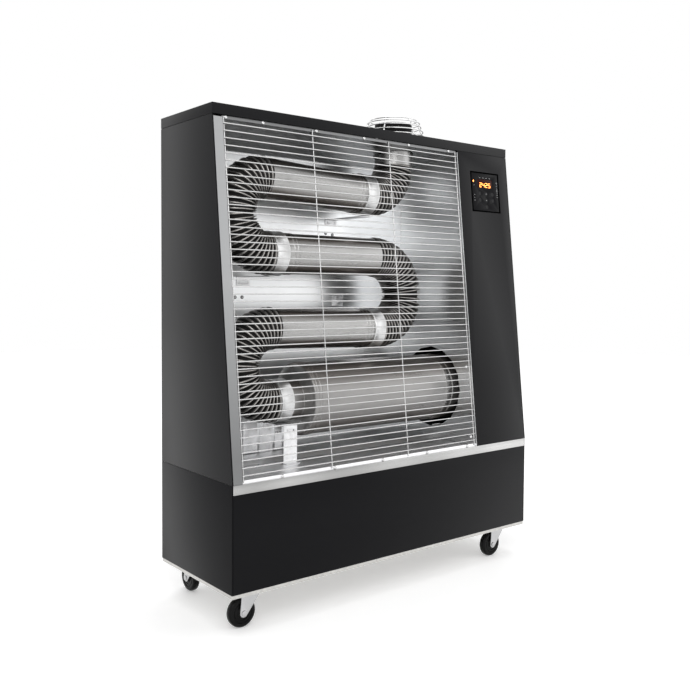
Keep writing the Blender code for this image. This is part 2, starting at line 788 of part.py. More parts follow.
def make_reflector_back():
    """Bright back wall of the chamber, its edges turned back to the rear panel."""
    x0 = from_left(FRONT_STRIP_RIGHT) - SHEET
    x1 = from_left(CHAMBER_RIGHT) + SHEET
    low = SEAM_Z + REFLECTOR_FOOT_GAP
    top = LID_Z - REFLECTOR_TOP_GAP
    outline = [(x0, low), (x1, low), (x1, top), (x0, top)]
    y_face = from_front(CHAMBER_BACK)
    depth = BASE_D - PANEL_WALL - FIT - CHAMBER_BACK
    bm = tray(bmesh.new(), outline, SHEET, depth, lambda u, v, w: (u, y_face + w, v))
    return new_object("reflector_back", bm, "polished_reflector")


def chamber_span():
    """X of the two ends of a sheet that lies between the chamber's walls."""
    return from_left(FRONT_STRIP_RIGHT) + FIT, from_left(CHAMBER_RIGHT) - FIT


def make_reflector_top():
    """Sloping ceiling of the chamber, with its front strip and the flue's hole."""
    x0, x1 = chamber_span()
    z_front = above_base(CEILING_FRONT_Z)
    z_back = above_base(CEILING_BACK_Z)
    z_strip = LID_Z - LID_GAP
    y_back = from_front(CHAMBER_BACK) - FIT
    path = [
        (lean_y(z_strip, GRILLE_SET), z_strip),
        (lean_y(z_front, GRILLE_SET), z_front),
        (y_back, z_back),
    ]
    section = sheet_section(path, SHEET)
    bm = loft(bmesh.new(), [[(x, u, v) for u, v in section] for x in (x0, x1)])
    top = new_object("reflector_top", bm, "polished_reflector")
    hole = bmesh.new()
    x = from_left(FLUE_X)
    y = from_front(PIPE_Y)
    diameter = TUBE_OD + 2 * FLUE_HOLE_CLEARANCE
    low = (x, y, z_back - OVERRUN)
    high = (x, y, z_front + OVERRUN)
    rod(hole, low, high, diameter, GUARD_RING_SIDES)
    return combine(top, hole, "DIFFERENCE")


def make_reflector_floor():
    """Chamber floor: front lip, level front part, a step, and a rising back part."""
    x0, x1 = chamber_span()
    z_floor = DECK_TOP_Z + FIT
    z_lip = SEAM_Z + FLOOR_LIP
    y_step = from_front(FLOOR_STEP_Y)
    y_back = from_front(CHAMBER_BACK) - FIT
    path = [
        (y_back, z_floor + FLOOR_BACK_RISE),
        (y_step + FLOOR_STEP_RUN, z_floor + FLOOR_STEP_RISE),
        (y_step, z_floor),
        (lean_y(z_floor, GRILLE_SET), z_floor),
        (lean_y(z_lip, GRILLE_SET), z_lip),
    ]
    section = sheet_section(path, -SHEET)
    bm = loft(bmesh.new(), [[(x, u, v) for u, v in section] for x in (x0, x1)])
    return new_object("reflector_floor", bm, "polished_reflector")


def make_grille():
    """Welded guard: level wires in front of four upright ones, all on the lean."""
    post_depth = GRILLE_SET - FIT - WIRE_D / 2
    bar_depth = post_depth - WIRE_D + WELD_SINK
    x0 = from_left(FRONT_STRIP_RIGHT) + FIT
    x1 = from_left(GRILLE_POST_RIGHT) + GRILLE_END
    bars = bmesh.new()
    for i in range(GRILLE_BARS):
        share = i / (GRILLE_BARS - 1)
        z = above_base(GRILLE_BOTTOM_Z + share * (GRILLE_TOP_Z - GRILLE_BOTTOM_Z))
        y = lean_y(z, bar_depth)
        rod(bars, (x0, y, z), (x1, y, z), WIRE_D, WIRE_SIDES, math.pi / 2)
    grille = new_object("grille", bars, "chrome_wire")
    posts = bmesh.new()
    z0 = above_base(GRILLE_POST_BOTTOM_Z)
    z1 = above_base(GRILLE_POST_TOP_Z)
    for i in range(GRILLE_POSTS):
        share = i / (GRILLE_POSTS - 1)
        x = from_left(GRILLE_POST_LEFT + share * (GRILLE_POST_RIGHT - GRILLE_POST_LEFT))
        foot = (x, lean_y(z0, post_depth), z0)
        head = (x, lean_y(z1, post_depth), z1)
        rod(posts, foot, head, WIRE_D, WIRE_SIDES, math.pi / 2)
    return combine(grille, posts, "UNION")


# Radiant tube run


def run_point(x, height, fall=0.0, left_x=0.0):
    """Point on a tube's axis at x, for a tube that falls to the right of left_x."""
    return Vector((from_left(x), from_front(PIPE_Y), above_base(height - fall * (x - left_x))))


def run_direction(fall):
    """Unit vector to the right along a tube with this fall."""
    return Vector((1, 0, -fall)).normalized()


def bead(distance, radius):
    """Outline points of one raised bead round a tube."""
    return [
        (distance - BEAD_W / 2, radius),
        (distance, radius + BEAD_H),
        (distance + BEAD_W / 2, radius),
    ]


def make_tube(name, start, end, bead_inset):
    """Straight radiant tube with two beads near its collar, which start names."""
    span = end - start
    radius = TUBE_OD / 2
    outline = [(0, radius)]
    outline += bead(bead_inset, radius)
    outline += bead(bead_inset + BEAD_PITCH, radius)
    outline += [(span.length, radius), (span.length, radius - TUBE_WALL), (0, radius - TUBE_WALL)]
    bm = turned(bmesh.new(), start, span, outline, PIPE_SIDES, looped=True)
    return new_object(name, bm, "tinted_steel")


def make_collar(name, centre, direction):
    """Sleeve that clamps a bend to a tube."""
    inner = TUBE_OD / 2 + FIT
    outer = COLLAR_OD / 2
    half = COLLAR_W / 2
    outline = [
        (-half, inner),
        (-half, outer - COLLAR_BEVEL),
        (COLLAR_BEVEL - half, outer),
        (half - COLLAR_BEVEL, outer),
        (half, outer - COLLAR_BEVEL),
        (half, inner),
    ]
    bm = turned(bmesh.new(), centre, direction, outline, PIPE_SIDES, looped=True)
    return new_object(name, bm, "collar_steel")


def bezier(p0, p1, p2, p3, t):
    """Point at t on a cubic curve."""
    s = 1 - t
    return p0 * s**3 + p1 * (3 * s * s * t) + p2 * (3 * s * t * t) + p3 * t**3


def even_points(curve, count):
    """Points at equal spacing along a finely sampled curve, and its length."""
    lengths = [0.0]
    for before, here in zip(curve, curve[1:]):
        lengths.append(lengths[-1] + (here - before).length)
    total = lengths[-1]
    points = []
    index = 0
    for i in range(count):
        target = total * i / (count - 1)
        while index < len(curve) - 2 and lengths[index + 1] < target:
            index += 1
        share = (target - lengths[index]) / (lengths[index + 1] - lengths[index])
        points.append(curve[index].lerp(curve[index + 1], share))
    return points, total


def make_bend(name, mouths, directions, handle, plain_ends, ribs, bore_steps):
    """Pleated bend between two mouths in the upright plane of the tube run.

    Each plain end is (length, outer radius): a sleeve that enters a tube or a collar.
    """
    p0, p3 = mouths
    d0, d3 = directions
    p1 = p0 + d0 * handle
    p2 = p3 - d3 * handle
    curve = [bezier(p0, p1, p2, p3, i / CURVE_SAMPLES) for i in range(CURVE_SAMPLES + 1)]
    points, _ = even_points(curve, 2 * ribs + 1)
    tangents = [d0]
    for before, after in zip(points, points[2:]):
        tangents.append((after - before).normalized())
    tangents.append(d3)
    across = Vector((0, 1, 0))
    outer = []
    inner = []
    (first_length, first_radius), (last_length, last_radius) = plain_ends
    first = (p0 - d0 * first_length, d0)
    last = (p3 + d3 * last_length, d3)

    def section(centre, tangent, radius):
        return ring(centre, tangent.cross(across), across, radius, PIPE_SIDES)

    outer.append(section(*first, first_radius))
    for i, (point, tangent) in enumerate(zip(points, tangents)):
        radius = RIDGE_OD / 2 if i % 2 else VALLEY_OD / 2
        if i == 0:
            radius = first_radius
        if i == 2 * ribs:
            radius = last_radius
        outer.append(section(point, tangent, radius))
    outer.append(section(*last, last_radius))
    inner.append(section(*last, BEND_BORE / 2))
    for step in range(bore_steps, -1, -1):
        i = round(2 * ribs * step / bore_steps)
        inner.append(section(points[i], tangents[i], BEND_BORE / 2))
    inner.append(section(*first, BEND_BORE / 2))
    return new_object(name, loft(bmesh.new(), outer + inner, looped=True), "pleated_steel")


def make_tube_run():
    """The three radiant tubes, their collars and the pleated bends that join them."""
    half_joint = JOINT_GAP / 2
    half_collar = COLLAR_W / 2
    upper_way = run_direction(UPPER_FALL)
    lower_way = run_direction(LOWER_FALL)
    level = Vector((1, 0, 0))

    upper_left = run_point(UPPER_LEFT_X, UPPER_Z)
    upper_right = run_point(UPPER_RIGHT_X, UPPER_Z, UPPER_FALL, UPPER_LEFT_X)
    middle_left = run_point(MIDDLE_LEFT_X, MIDDLE_Z)
    middle_right = run_point(MIDDLE_RIGHT_X, MIDDLE_Z)
    lower_left = run_point(LOWER_LEFT_X, LOWER_Z)
    lower_right = run_point(LOWER_RIGHT_X, LOWER_Z, LOWER_FALL, LOWER_LEFT_X)
    neck_left = run_point(NECK_LEFT_X, CYLINDER_Z)
    flue_mouth = Vector((from_left(FLUE_X), from_front(PIPE_Y), above_base(FLUE_BOTTOM_Z)))

    make_tube("upper_tube", upper_right - upper_way * half_joint, upper_left, UPPER_BEAD_INSET)
    make_tube("middle_tube", middle_left + level * half_joint, middle_right, MIDDLE_BEAD_INSET)
    make_tube("lower_tube", lower_right - lower_way * half_joint, lower_left, LOWER_BEAD_INSET)
    make_collar("upper_collar", upper_right, upper_way)
    make_collar("middle_collar", middle_left, level)
    make_collar("lower_collar", lower_right, lower_way)
    make_collar("cylinder_collar", neck_left, level)

    slip_end = (SLIP, TUBE_OD / 2 - TUBE_WALL - FIT)
    collar_end = (half_collar - half_joint, TUBE_OD / 2)
    collar_2_edge = middle_left - level * half_collar
    middle_x = (upper_left.x + collar_2_edge.x) / 2
    make_bend(
        "upper_left_bend",
        (upper_left, collar_2_edge),
        (-upper_way, level),
        (middle_x - from_left(UPPER_APEX_X)) / U_APEX_SHARE,
        (slip_end, collar_end),
        U_BEND_RIBS,
        U_BEND_BORE_STEPS,
    )
    collar_3_edge = lower_right + lower_way * half_collar
    middle_x = (middle_right.x + collar_3_edge.x) / 2
    make_bend(
        "right_bend",
        (middle_right, collar_3_edge),
        (level, -lower_way),
        (from_left(RIGHT_APEX_X) - middle_x) / U_APEX_SHARE,
        (slip_end, collar_end),
        U_BEND_RIBS,
        U_BEND_BORE_STEPS,
    )
    collar_4_edge = neck_left - level * half_collar
    middle_x = (lower_left.x + collar_4_edge.x) / 2
    make_bend(
        "lower_left_bend",
        (lower_left, collar_4_edge),
        (-lower_way, level),
        (middle_x - from_left(LOWER_APEX_X)) / U_APEX_SHARE,
        (slip_end, collar_end),
        U_BEND_RIBS,
        U_BEND_BORE_STEPS,
    )
    collar_1_edge = upper_right + upper_way * half_collar
    make_bend(
        "flue_elbow",
        (collar_1_edge, flue_mouth),
        (upper_way, Vector((0, 0, 1))),
        (flue_mouth.x - collar_1_edge.x) * QUARTER_ARC_SHARE,
        (collar_end, slip_end),
        ELBOW_RIBS,
        ELBOW_BORE_STEPS,
    )


def make_combustion_cylinder():
    """Large cylinder that the burner fires into, necked down to the tube size."""
    start_x = NECK_LEFT_X + JOINT_GAP / 2
    neck = CYLINDER_LEFT_X - start_x
    length = CYLINDER_RIGHT_X - start_x
    small = TUBE_OD / 2
    large = CYLINDER_OD / 2
    hole = BLAST_TUBE_OD / 2 + FIT
    far_bead = length - CYLINDER_FAR_BEAD_INSET
    outline = [(0, small), (neck, small), (neck, large - CYLINDER_SHOULDER)]
    outline += [(neck + CYLINDER_SHOULDER, large)]
    outline += bead(neck + CYLINDER_BEAD_INSET, large)
    outline += bead(neck + CYLINDER_BEAD_INSET + BEAD_PITCH, large)
    outline += bead(far_bead - CYLINDER_FAR_BEAD_PITCH, large)
    outline += bead(far_bead, large)
    outline += [(length, large), (length, hole), (length - CYLINDER_WALL, hole)]
    outline += [
        (length - CYLINDER_WALL, large - CYLINDER_WALL),
        (neck + CYLINDER_WALL, large - CYLINDER_WALL),
        (neck + CYLINDER_WALL, small - TUBE_WALL),
        (0, small - TUBE_WALL),
    ]
    start = run_point(start_x, CYLINDER_Z)
    bm = turned(bmesh.new(), start, (1, 0, 0), outline, PIPE_SIDES, looped=True)
    return new_object("combustion_cylinder", bm, "tinted_steel")


def make_cylinder_stand():
    """Saddle under the cylinder's neck: two legs with feet and a bridge between."""
    z_top = above_base(CYLINDER_Z) - COLLAR_OD / 2 - FIT
    z_front = DECK_TOP_Z + FIT + SHEET + FIT
    floor_run = CHAMBER_BACK - FIT - FLOOR_STEP_Y - FLOOR_STEP_RUN
    y_rear_leg = PIPE_Y + COLLAR_OD / 2
    rise_share = (y_rear_leg + STAND_FOOT - FLOOR_STEP_Y - FLOOR_STEP_RUN) / floor_run
    back_rise = FLOOR_STEP_RISE + rise_share * (FLOOR_BACK_RISE - FLOOR_STEP_RISE)
    z_back = z_front + back_rise
    y0 = from_front(PIPE_Y - COLLAR_OD / 2)
    y1 = from_front(y_rear_leg)
    path = [
        (y0 - STAND_FOOT, z_front + STAND_WALL),
        (y0, z_front + STAND_WALL),
        (y0, z_top),
        (y1, z_top),
        (y1, z_back + STAND_WALL),
        (y1 + STAND_FOOT, z_back + STAND_WALL),
    ]
    section = sheet_section(path, -STAND_WALL)
    x = from_left(STAND_X)
    bm = loft(bmesh.new(), [[(x + w, u, v) for u, v in section] for w in (-STAND_W / 2, STAND_W / 2)])
    stand = new_object("cylinder_stand", bm, "galvanised")
    holes = bmesh.new()
    reach = Vector((0, OVERRUN, 0))
    for side in (-1, 1):
        for y in (y0, y1):
            place = Vector((x + side * STAND_HOLE_PITCH / 2, y, z_top - STAND_HOLE_DROP))
            rod(holes, place - reach, place + reach, STAND_HOLE_D, KEY_SIDES)
    return combine(stand, holes, "DIFFERENCE")


def make_bracket(name, x, z_collar, under, height):
    """Angle from the back wall that holds a collar from below or from above."""
    turn = -1 if under else 1
    y_wall = from_front(CHAMBER_BACK) - FIT
    z_arm = z_collar + turn * (COLLAR_OD / 2 + FIT)
    y_tip = from_front(PIPE_Y) - BRACKET_REACH
    path = [(y_tip, z_arm), (y_wall, z_arm), (y_wall, z_arm + turn * height)]
    section = sheet_section(path, turn * BRACKET_WALL)
    bm = loft(
        bmesh.new(), [[(x + w, u, v) for u, v in section] for w in (-BRACKET_W / 2, BRACKET_W / 2)]
    )
    bracket = new_object(name, bm, "galvanised")
    holes = bmesh.new()
    reach = Vector((0, OVERRUN, 0))
    for side in (-1, 1):
        z_hole = z_arm + turn * (height - BRACKET_HOLE_EDGE)
        place = Vector((x + side * BRACKET_HOLE_PITCH / 2, y_wall, z_hole))
        rod(holes, place - reach, place + reach, BRACKET_HOLE_D, KEY_SIDES)
    return combine(bracket, holes, "DIFFERENCE")


def make_brackets():
    """The three angles that carry the tube run on the back wall."""
    upper = run_point(UPPER_RIGHT_X, UPPER_Z, UPPER_FALL, UPPER_LEFT_X)
    middle = run_point(MIDDLE_LEFT_X, MIDDLE_Z)
    lower = run_point(LOWER_RIGHT_X, LOWER_Z, LOWER_FALL, LOWER_LEFT_X)
    tilt_room = UPPER_FALL * (COLLAR_W / 2 + BRACKET_W / 2)
    lower_room = LOWER_FALL * (COLLAR_W / 2 + BRACKET_W / 2)
    make_bracket("upper_bracket", upper.x, upper.z - tilt_room, True, UPPER_BRACKET_H)
    make_bracket("middle_bracket", middle.x, middle.z, True, MIDDLE_BRACKET_H)
    make_bracket("lower_bracket", lower.x, lower.z + lower_room, False, LOWER_BRACKET_H)


# Flue


def make_flue_stub():
    """Outlet tube through the ceiling and the lid, with a bead below its rim."""
    radius = TUBE_OD / 2
    low = above_base(FLUE_BOTTOM_Z)
    length = FLUE_RIM_Z - low
    outline = [(0, radius)]
    outline += bead(length - FLUE_BEAD_INSET, radius)
    outline += [(length, radius), (length, radius - TUBE_WALL), (0, radius - TUBE_WALL)]
    start = (from_left(FLUE_X), from_front(PIPE_Y), low)
    bm = turned(bmesh.new(), start, (0, 0, 1), outline, PIPE_SIDES, looped=True)
    return new_object("flue_stub", bm, "tinted_steel")


def make_flue_guard():
    """Wire basket round the hot outlet: five rings on bent uprights."""
    centre = Vector((from_left(FLUE_X), from_front(PIPE_Y), TOP_Z))
    rings = (
        (GUARD_RING_1_D, GUARD_RING_1_RISE),
        (GUARD_RING_2_D, GUARD_RING_2_RISE),
        (GUARD_RING_3_D, GUARD_RING_3_RISE),
        (GUARD_RING_4_D, GUARD_RING_4_RISE),
        (GUARD_RING_5_D, GUARD_RING_5_RISE),
    )
    wire = GUARD_WIRE_D / 2
    hoops = bmesh.new()
    for diameter, rise in rings:
        outline = []
        for i in range(GUARD_WIRE_SIDES):
            angle = 2 * math.pi * i / GUARD_WIRE_SIDES
            outline.append((rise + wire * math.sin(angle), diameter / 2 + wire * math.cos(angle)))
        turned(hoops, centre, (0, 0, 1), outline, GUARD_RING_SIDES, looped=True)
    guard = new_object("flue_guard", hoops, "chrome_wire")
    inset = wire - WELD_SINK
    stations = [(GUARD_FOOT_D / 2, FIT)]
    stations += [(diameter / 2 - wire - inset, rise) for diameter, rise in rings]
    stations += [(GUARD_TIP_D / 2 - wire, GUARD_TIP_RISE)]
    posts = bmesh.new()
    for i in range(GUARD_POSTS):
        angle = 2 * math.pi * (i + 1 / 2) / GUARD_POSTS
        out = Vector((math.cos(angle), math.sin(angle), 0))
        around = Vector((-math.sin(angle), math.cos(angle), 0))
        path = [centre + out * radius + Vector((0, 0, rise)) for radius, rise in stations]
        sections = []
        for j, point in enumerate(path):
            before = path[max(j - 1, 0)]
            after = path[min(j + 1, len(path) - 1)]
            along = (after - before).normalized()
            sections.append(ring(point, around, along.cross(around), wire, GUARD_WIRE_SIDES))
        sections[0] = [Vector((p.x, p.y, TOP_Z + FIT)) for p in sections[0]]
        loft(posts, sections)
    return combine(guard, posts, "UNION")


# Burner


def scroll_outline(offset):
    """Fan scroll seen along its shaft, its wall line moved inwards by offset."""
    outlet_x = CYLINDER_RIGHT_X + BURNER_FLANGE_T + OVERRUN - FAN_X + offset
    outlet_top = SCROLL_OUTLET_H - SCROLL_MAX_R - offset
    points = []
    for i in range(SCROLL_POINTS + 1):
        share = i / SCROLL_POINTS
        angle = math.radians(SCROLL_START_DEG + share * SCROLL_TURN_DEG)
        radius = SCROLL_MAX_R + share * (SCROLL_MIN_R - SCROLL_MAX_R) - offset
        point = (radius * math.cos(angle), radius * math.sin(angle))
        if point[0] > 0 or point[1] > outlet_top:
            points.append(point)
    points.append((offset - math.sqrt(SCROLL_MIN_R**2 - outlet_top**2), outlet_top))
    points.append((outlet_x, outlet_top))
    points.append((outlet_x, offset - SCROLL_MAX_R))
    return points


def fan_centre():
    """Where the fan's shaft crosses the middle plane of the tube run."""
    rise = SCROLL_MAX_R - SCROLL_OUTLET_H / 2
    return Vector((from_left(FAN_X), from_front(PIPE_Y), above_base(CYLINDER_Z) + rise))


def make_burner_housing():
    """Cast scroll with its blast tube and the flange that closes the cylinder."""
    centre = fan_centre()
    y_front = centre.y - SCROLL_DEPTH / 2
    y_back = centre.y + SCROLL_DEPTH / 2
    outer = scroll_outline(0)
    inner = scroll_outline(SCROLL_WALL)
    levels = (
        (outer, y_front),
        (outer, y_back),
        (inner, y_back),
        (inner, y_front + SCROLL_WALL),
    )
    sections = [[(centre.x + u, y, centre.z + v) for u, v in points] for points, y in levels]
    housing = new_object("burner_housing", loft(bmesh.new(), sections), "cast_aluminium")
    x_flange = from_left(CYLINDER_RIGHT_X) + FIT
    x_scroll = x_flange + BURNER_FLANGE_T + OVERRUN + SCROLL_WALL / 2
    axis = run_point(CYLINDER_RIGHT_X, CYLINDER_Z)
    tube = BLAST_TUBE_OD / 2
    flange = [
        (-BLAST_TUBE_IN, tube),
        (FIT, tube),
        (FIT, BURNER_FLANGE_D / 2),
        (FIT + BURNER_FLANGE_T, BURNER_FLANGE_D / 2),
        (FIT + BURNER_FLANGE_T, tube),
        (x_scroll - axis.x, tube),
    ]
    combine(housing, turned(bmesh.new(), axis, (1, 0, 0), flange, PIPE_SIDES), "UNION")
    bore = bmesh.new()
    start = axis - Vector((BLAST_TUBE_IN + OVERRUN, 0, 0))
    end = Vector((x_scroll + SCROLL_WALL + OVERRUN, axis.y, axis.z))
    rod(bore, start, end, BLAST_TUBE_OD - 2 * BLAST_TUBE_WALL, PIPE_SIDES)
    combine(housing, bore, "DIFFERENCE")
    inlets = bmesh.new()
    reach = Vector((0, OVERRUN, 0))
    for i in range(INLET_HOLES):
        angle = 2 * math.pi * i / INLET_HOLES
        spot = Vector((math.cos(angle), 0, math.sin(angle))) * (INLET_CIRCLE_D / 2)
        place = Vector((centre.x, y_front, centre.z)) + spot
        rod(inlets, place - reach, place + reach, INLET_HOLE_D, KEY_SIDES)
    return combine(housing, inlets, "DIFFERENCE")


def make_blower_impeller():
    """Blower wheel on its shaft: back plate, swept blades and a front ring."""
    centre = fan_centre()
    y_plate = centre.y + IMPELLER_W / 2
    y_ring = centre.y - IMPELLER_W / 2
    y_shaft_end = centre.y + SCROLL_DEPTH / 2 + FIT + SHAFT_IN
    front = y_ring
    shaft = SHAFT_D / 2
    hub = IMPELLER_HUB_D / 2
    rim = IMPELLER_D / 2
    outline = [
        (0, hub),
        (y_plate - front, hub),
        (y_plate - front, rim),
        (y_plate + IMPELLER_PLATE - front, rim),
        (y_plate + IMPELLER_PLATE - front, shaft),
        (y_shaft_end - front, shaft),
    ]
    origin = Vector((centre.x, front, centre.z))
    bm = turned(bmesh.new(), origin, (0, 1, 0), outline)
    wheel = new_object("blower_impeller", bm, "cast_aluminium")
    blades = bmesh.new()
    inner_r = IMPELLER_EYE_D / 2
    outer_r = rim - BLADE_T
    sweep = math.radians(BLADE_SWEEP_DEG)
    for i in range(IMPELLER_BLADES):
        angle = 2 * math.pi * i / IMPELLER_BLADES
        path = [
            (inner_r * math.cos(angle), inner_r * math.sin(angle)),
            (outer_r * math.cos(angle + sweep), outer_r * math.sin(angle + sweep)),
        ]
        section = sheet_section(path, BLADE_T)
        span = (y_ring, y_plate + IMPELLER_PLATE / 2)
        loft(blades, [[(centre.x + u, y, centre.z + v) for u, v in section] for y in span])
    combine(wheel, blades, "UNION")
    hoop = [
        (0, rim),
        (IMPELLER_PLATE, rim),
        (IMPELLER_PLATE, inner_r + BLADE_T),
        (0, inner_r + BLADE_T),
    ]
    start = Vector((centre.x, y_ring - IMPELLER_PLATE / 2, centre.z))
    combine(wheel, turned(bmesh.new(), start, (0, 1, 0), hoop, looped=True), "UNION")
    move_origin(wheel, centre)
    return wheel


def make_burner_motor():
    """Motor with the flange that closes the scroll, ribbed body and end cap."""
    centre = fan_centre()
    start = Vector((centre.x, centre.y + SCROLL_DEPTH / 2 + FIT, centre.z))
    bore = SHAFT_D / 2 + FIT
    body = MOTOR_D / 2
    outline = [
        (0, MOTOR_FLANGE_D / 2),
        (MOTOR_FLANGE_T, MOTOR_FLANGE_D / 2),
        (MOTOR_FLANGE_T, body),
    ]
    rib_pitch = MOTOR_L / (MOTOR_RIBS + 1)
    for i in range(MOTOR_RIBS):
        middle = MOTOR_FLANGE_T + (i + 1) * rib_pitch
        outline += [
            (middle - rib_pitch / 4, body),
            (middle, body + MOTOR_RIB_H),
            (middle + rib_pitch / 4, body),
        ]
    end = MOTOR_FLANGE_T + MOTOR_L
    outline += [
        (end, body),
        (end, MOTOR_CAP_D / 2),
        (end + MOTOR_CAP_L, MOTOR_CAP_D / 2),
    ]
    bm = turned(bmesh.new(), start, (0, 1, 0), outline, HOLE_SIDES)
    motor = new_object("burner_motor", bm, "motor_grey")
    socket = bmesh.new()
    reach = Vector((0, SHAFT_IN + FIT, 0))
    rod(socket, start - Vector((0, OVERRUN, 0)), start + reach, 2 * bore, KEY_SIDES)
    return combine(motor, socket, "DIFFERENCE")


def make_fuel_pump():
    """Pump on the scroll's front wall, with its nose and its hose barb."""
    centre = fan_centre()
    face = Vector((centre.x, centre.y - SCROLL_DEPTH / 2 - FIT, centre.z))
    outline = [
        (0, PUMP_D / 2),
        (PUMP_L, PUMP_D / 2),
        (PUMP_L, PUMP_NOSE_D / 2),
        (PUMP_L + PUMP_NOSE_L, PUMP_NOSE_D / 2),
    ]
    pump = new_object("fuel_pump", turned(bmesh.new(), face, (0, -1, 0), outline), "cast_aluminium")
    barb = bmesh.new()
    top = pump_barb_end() + Vector((0, 0, PUMP_D / 2 + HOSE_BARB_L - PUMP_NOSE_D / 2))
    rod(barb, top, pump_barb_end(), HOSE_D, HOLE_SIDES)
    return combine(pump, barb, "UNION")


def pump_barb_end():
    """Lower end of the pump's hose barb."""
    centre = fan_centre()
    y = centre.y - SCROLL_DEPTH / 2 - FIT - PUMP_L / 2
    return Vector((centre.x, y, centre.z - PUMP_D / 2 - HOSE_BARB_L))


def make_ignition_transformer():
    """Ignition transformer on the deck, with its two insulators."""
    x = from_left(TRANSFORMER_X)
    y = from_front(TRANSFORMER_Y)
    z = DECK_TOP_Z + FIT
    outline = rounded_outline(
        TRANSFORMER_W, TRANSFORMER_D, TRANSFORMER_ROUND, TRANSFORMER_ROUND_STEPS
    )
    bm = loft(bmesh.new(), [[(x + u, y + v, z + w) for u, v in outline] for w in (0, TRANSFORMER_H)])
    unit = new_object("ignition_transformer", bm, "motor_grey")
    insulators = bmesh.new()
    for side in (-1, 1):
        foot = Vector((x + side * INSULATOR_PITCH / 2, y, z + TRANSFORMER_H - INSULATOR_D / 4))
        outline = [
            (0, INSULATOR_D / 2),
            (INSULATOR_D / 4 + INSULATOR_L / 2, INSULATOR_D / 2),
            (INSULATOR_D / 4 + INSULATOR_L, INSULATOR_D / 4),
        ]
        turned(insulators, foot, (0, 0, 1), outline, KEY_SIDES)
    return combine(unit, insulators, "UNION")


# Fuel


def make_fuel_tank():
    """Fuel tank standing in the pan, with its tilted filler neck and hose outlet."""
    y = from_front(TANK_Y)
    z = CASTER_H + PAN_WALL + FIT
    outer = rounded_outline(TANK_L, TANK_D, TANK_ROUND, TANK_ROUND_STEPS)
    bm = loft(bmesh.new(), [[(u, y + v, z + w) for u, v in outer] for w in (0, TANK_H)])
    tank = new_object("fuel_tank", bm, "tank_black")
    mouth, direction = filler_axis()
    neck = rod(bmesh.new(), mouth - direction * FILLER_IN, mouth, FILLER_OD)
    combine(tank, neck, "UNION")
    outlet = bmesh.new()
    top = tank_outlet()
    rod(outlet, top - Vector((0, 0, HOSE_BARB_L + TANK_WALL / 2)), top, HOSE_D, HOLE_SIDES)
    combine(tank, outlet, "UNION")
    inner = rounded_outline(
        TANK_L - 2 * TANK_WALL, TANK_D - 2 * TANK_WALL, TANK_ROUND - TANK_WALL, TANK_ROUND_STEPS
    )
    levels = (TANK_WALL, TANK_H - TANK_WALL)
    hollow = loft(bmesh.new(), [[(u, y + v, z + w) for u, v in inner] for w in levels])
    combine(tank, hollow, "DIFFERENCE")
    bore = bmesh.new()
    inside = mouth - direction * (FILLER_IN + OVERRUN)
    rod(bore, inside, mouth + direction * OVERRUN, FILLER_OD - 2 * FILLER_WALL)
    return combine(tank, bore, "DIFFERENCE")


def tank_outlet():
    """Top of the tank's hose barb."""
    x = TANK_L / 2 - TANK_ROUND
    z = CASTER_H + PAN_WALL + FIT + TANK_H + HOSE_BARB_L
    return Vector((x, from_front(HOSE_Y), z))


def make_filler_cap():
    """Screw cap on the filler neck, with grip lugs round it."""
    mouth, direction = filler_axis()
    radius = CAP_D / 2
    socket_r = FILLER_OD / 2 + FIT
    skirt = CAP_H - CAP_WALL
    foot = FIT - skirt
    crown = FIT + CAP_WALL
    bm = turned(bmesh.new(), mouth, direction, [(foot, radius), (crown, radius)])
    cap = new_object("filler_cap", bm, "tank_black")
    lugs = bmesh.new()
    along, side, over = axis_frame(direction)
    for i in range(CAP_LUGS):
        angle = 2 * math.pi * i / CAP_LUGS
        out = side * math.cos(angle) + over * math.sin(angle)
        around = over * math.cos(angle) - side * math.sin(angle)
        corners = []
        for reach, half in ((radius - CAP_LUG_H, -1), (radius - CAP_LUG_H, 1), (radius + CAP_LUG_H, 1)):
            corners.append(out * reach + around * (half * CAP_LUG_W / 2))
        corners.append(out * (radius + CAP_LUG_H) - around * (CAP_LUG_W / 2))
        low = mouth + along * (foot + CAP_WALL)
        high = mouth + along * crown
        loft(lugs, [[end + corner for corner in corners] for end in (low, high)])
    combine(cap, lugs, "UNION")
    socket = bmesh.new()
    rod(socket, mouth - direction * (skirt + OVERRUN), mouth + direction * FIT, 2 * socket_r)
    combine(cap, socket, "DIFFERENCE")
    move_origin(cap, mouth)
    return cap


def make_fuel_hose():
    """Fuel hose from the tank's outlet up through the deck to the pump."""
    start = tank_outlet() + Vector((0, 0, FIT))
    end = pump_barb_end() - Vector((0, 0, FIT))
    deck = Vector((from_left(HOSE_X), from_front(HOSE_Y), DECK_TOP_Z))
    up = Vector((0, 0, 1))
    rise = deck.z - start.z
    lower_pull = up * (rise / 2)
    upper_pull = up * ((end.z - deck.z) / 2)
    first = start + up * HOSE_D
    last = end - up * HOSE_D
    curve = []
    for i in range(CURVE_SAMPLES + 1):
        curve.append(bezier(first, first + lower_pull, deck - lower_pull, deck, i / CURVE_SAMPLES))
    for i in range(1, CURVE_SAMPLES + 1):
        curve.append(bezier(deck, deck + upper_pull, last - upper_pull, last, i / CURVE_SAMPLES))
    middle, _ = even_points(curve, HOSE_POINTS - 2)
    points = [start] + middle + [end]
    data = bpy.data.curves.new("fuel_hose", "CURVE")
    data.dimensions = "3D"
    data.bevel_depth = HOSE_D / 2
    data.bevel_resolution = 2
    data.use_fill_caps = True
    spline = data.splines.new("POLY")
    spline.points.add(HOSE_POINTS - 1)
    for slot, point in zip(spline.points, points):
        slot.co = (*point, 1.0)
    hose = bpy.data.objects.new("fuel_hose", data)
    bpy.context.scene.collection.objects.link(hose)
    data.materials.append(finish_material("fuel_hose", "hose_rubber"))
    return hose


# Electrics


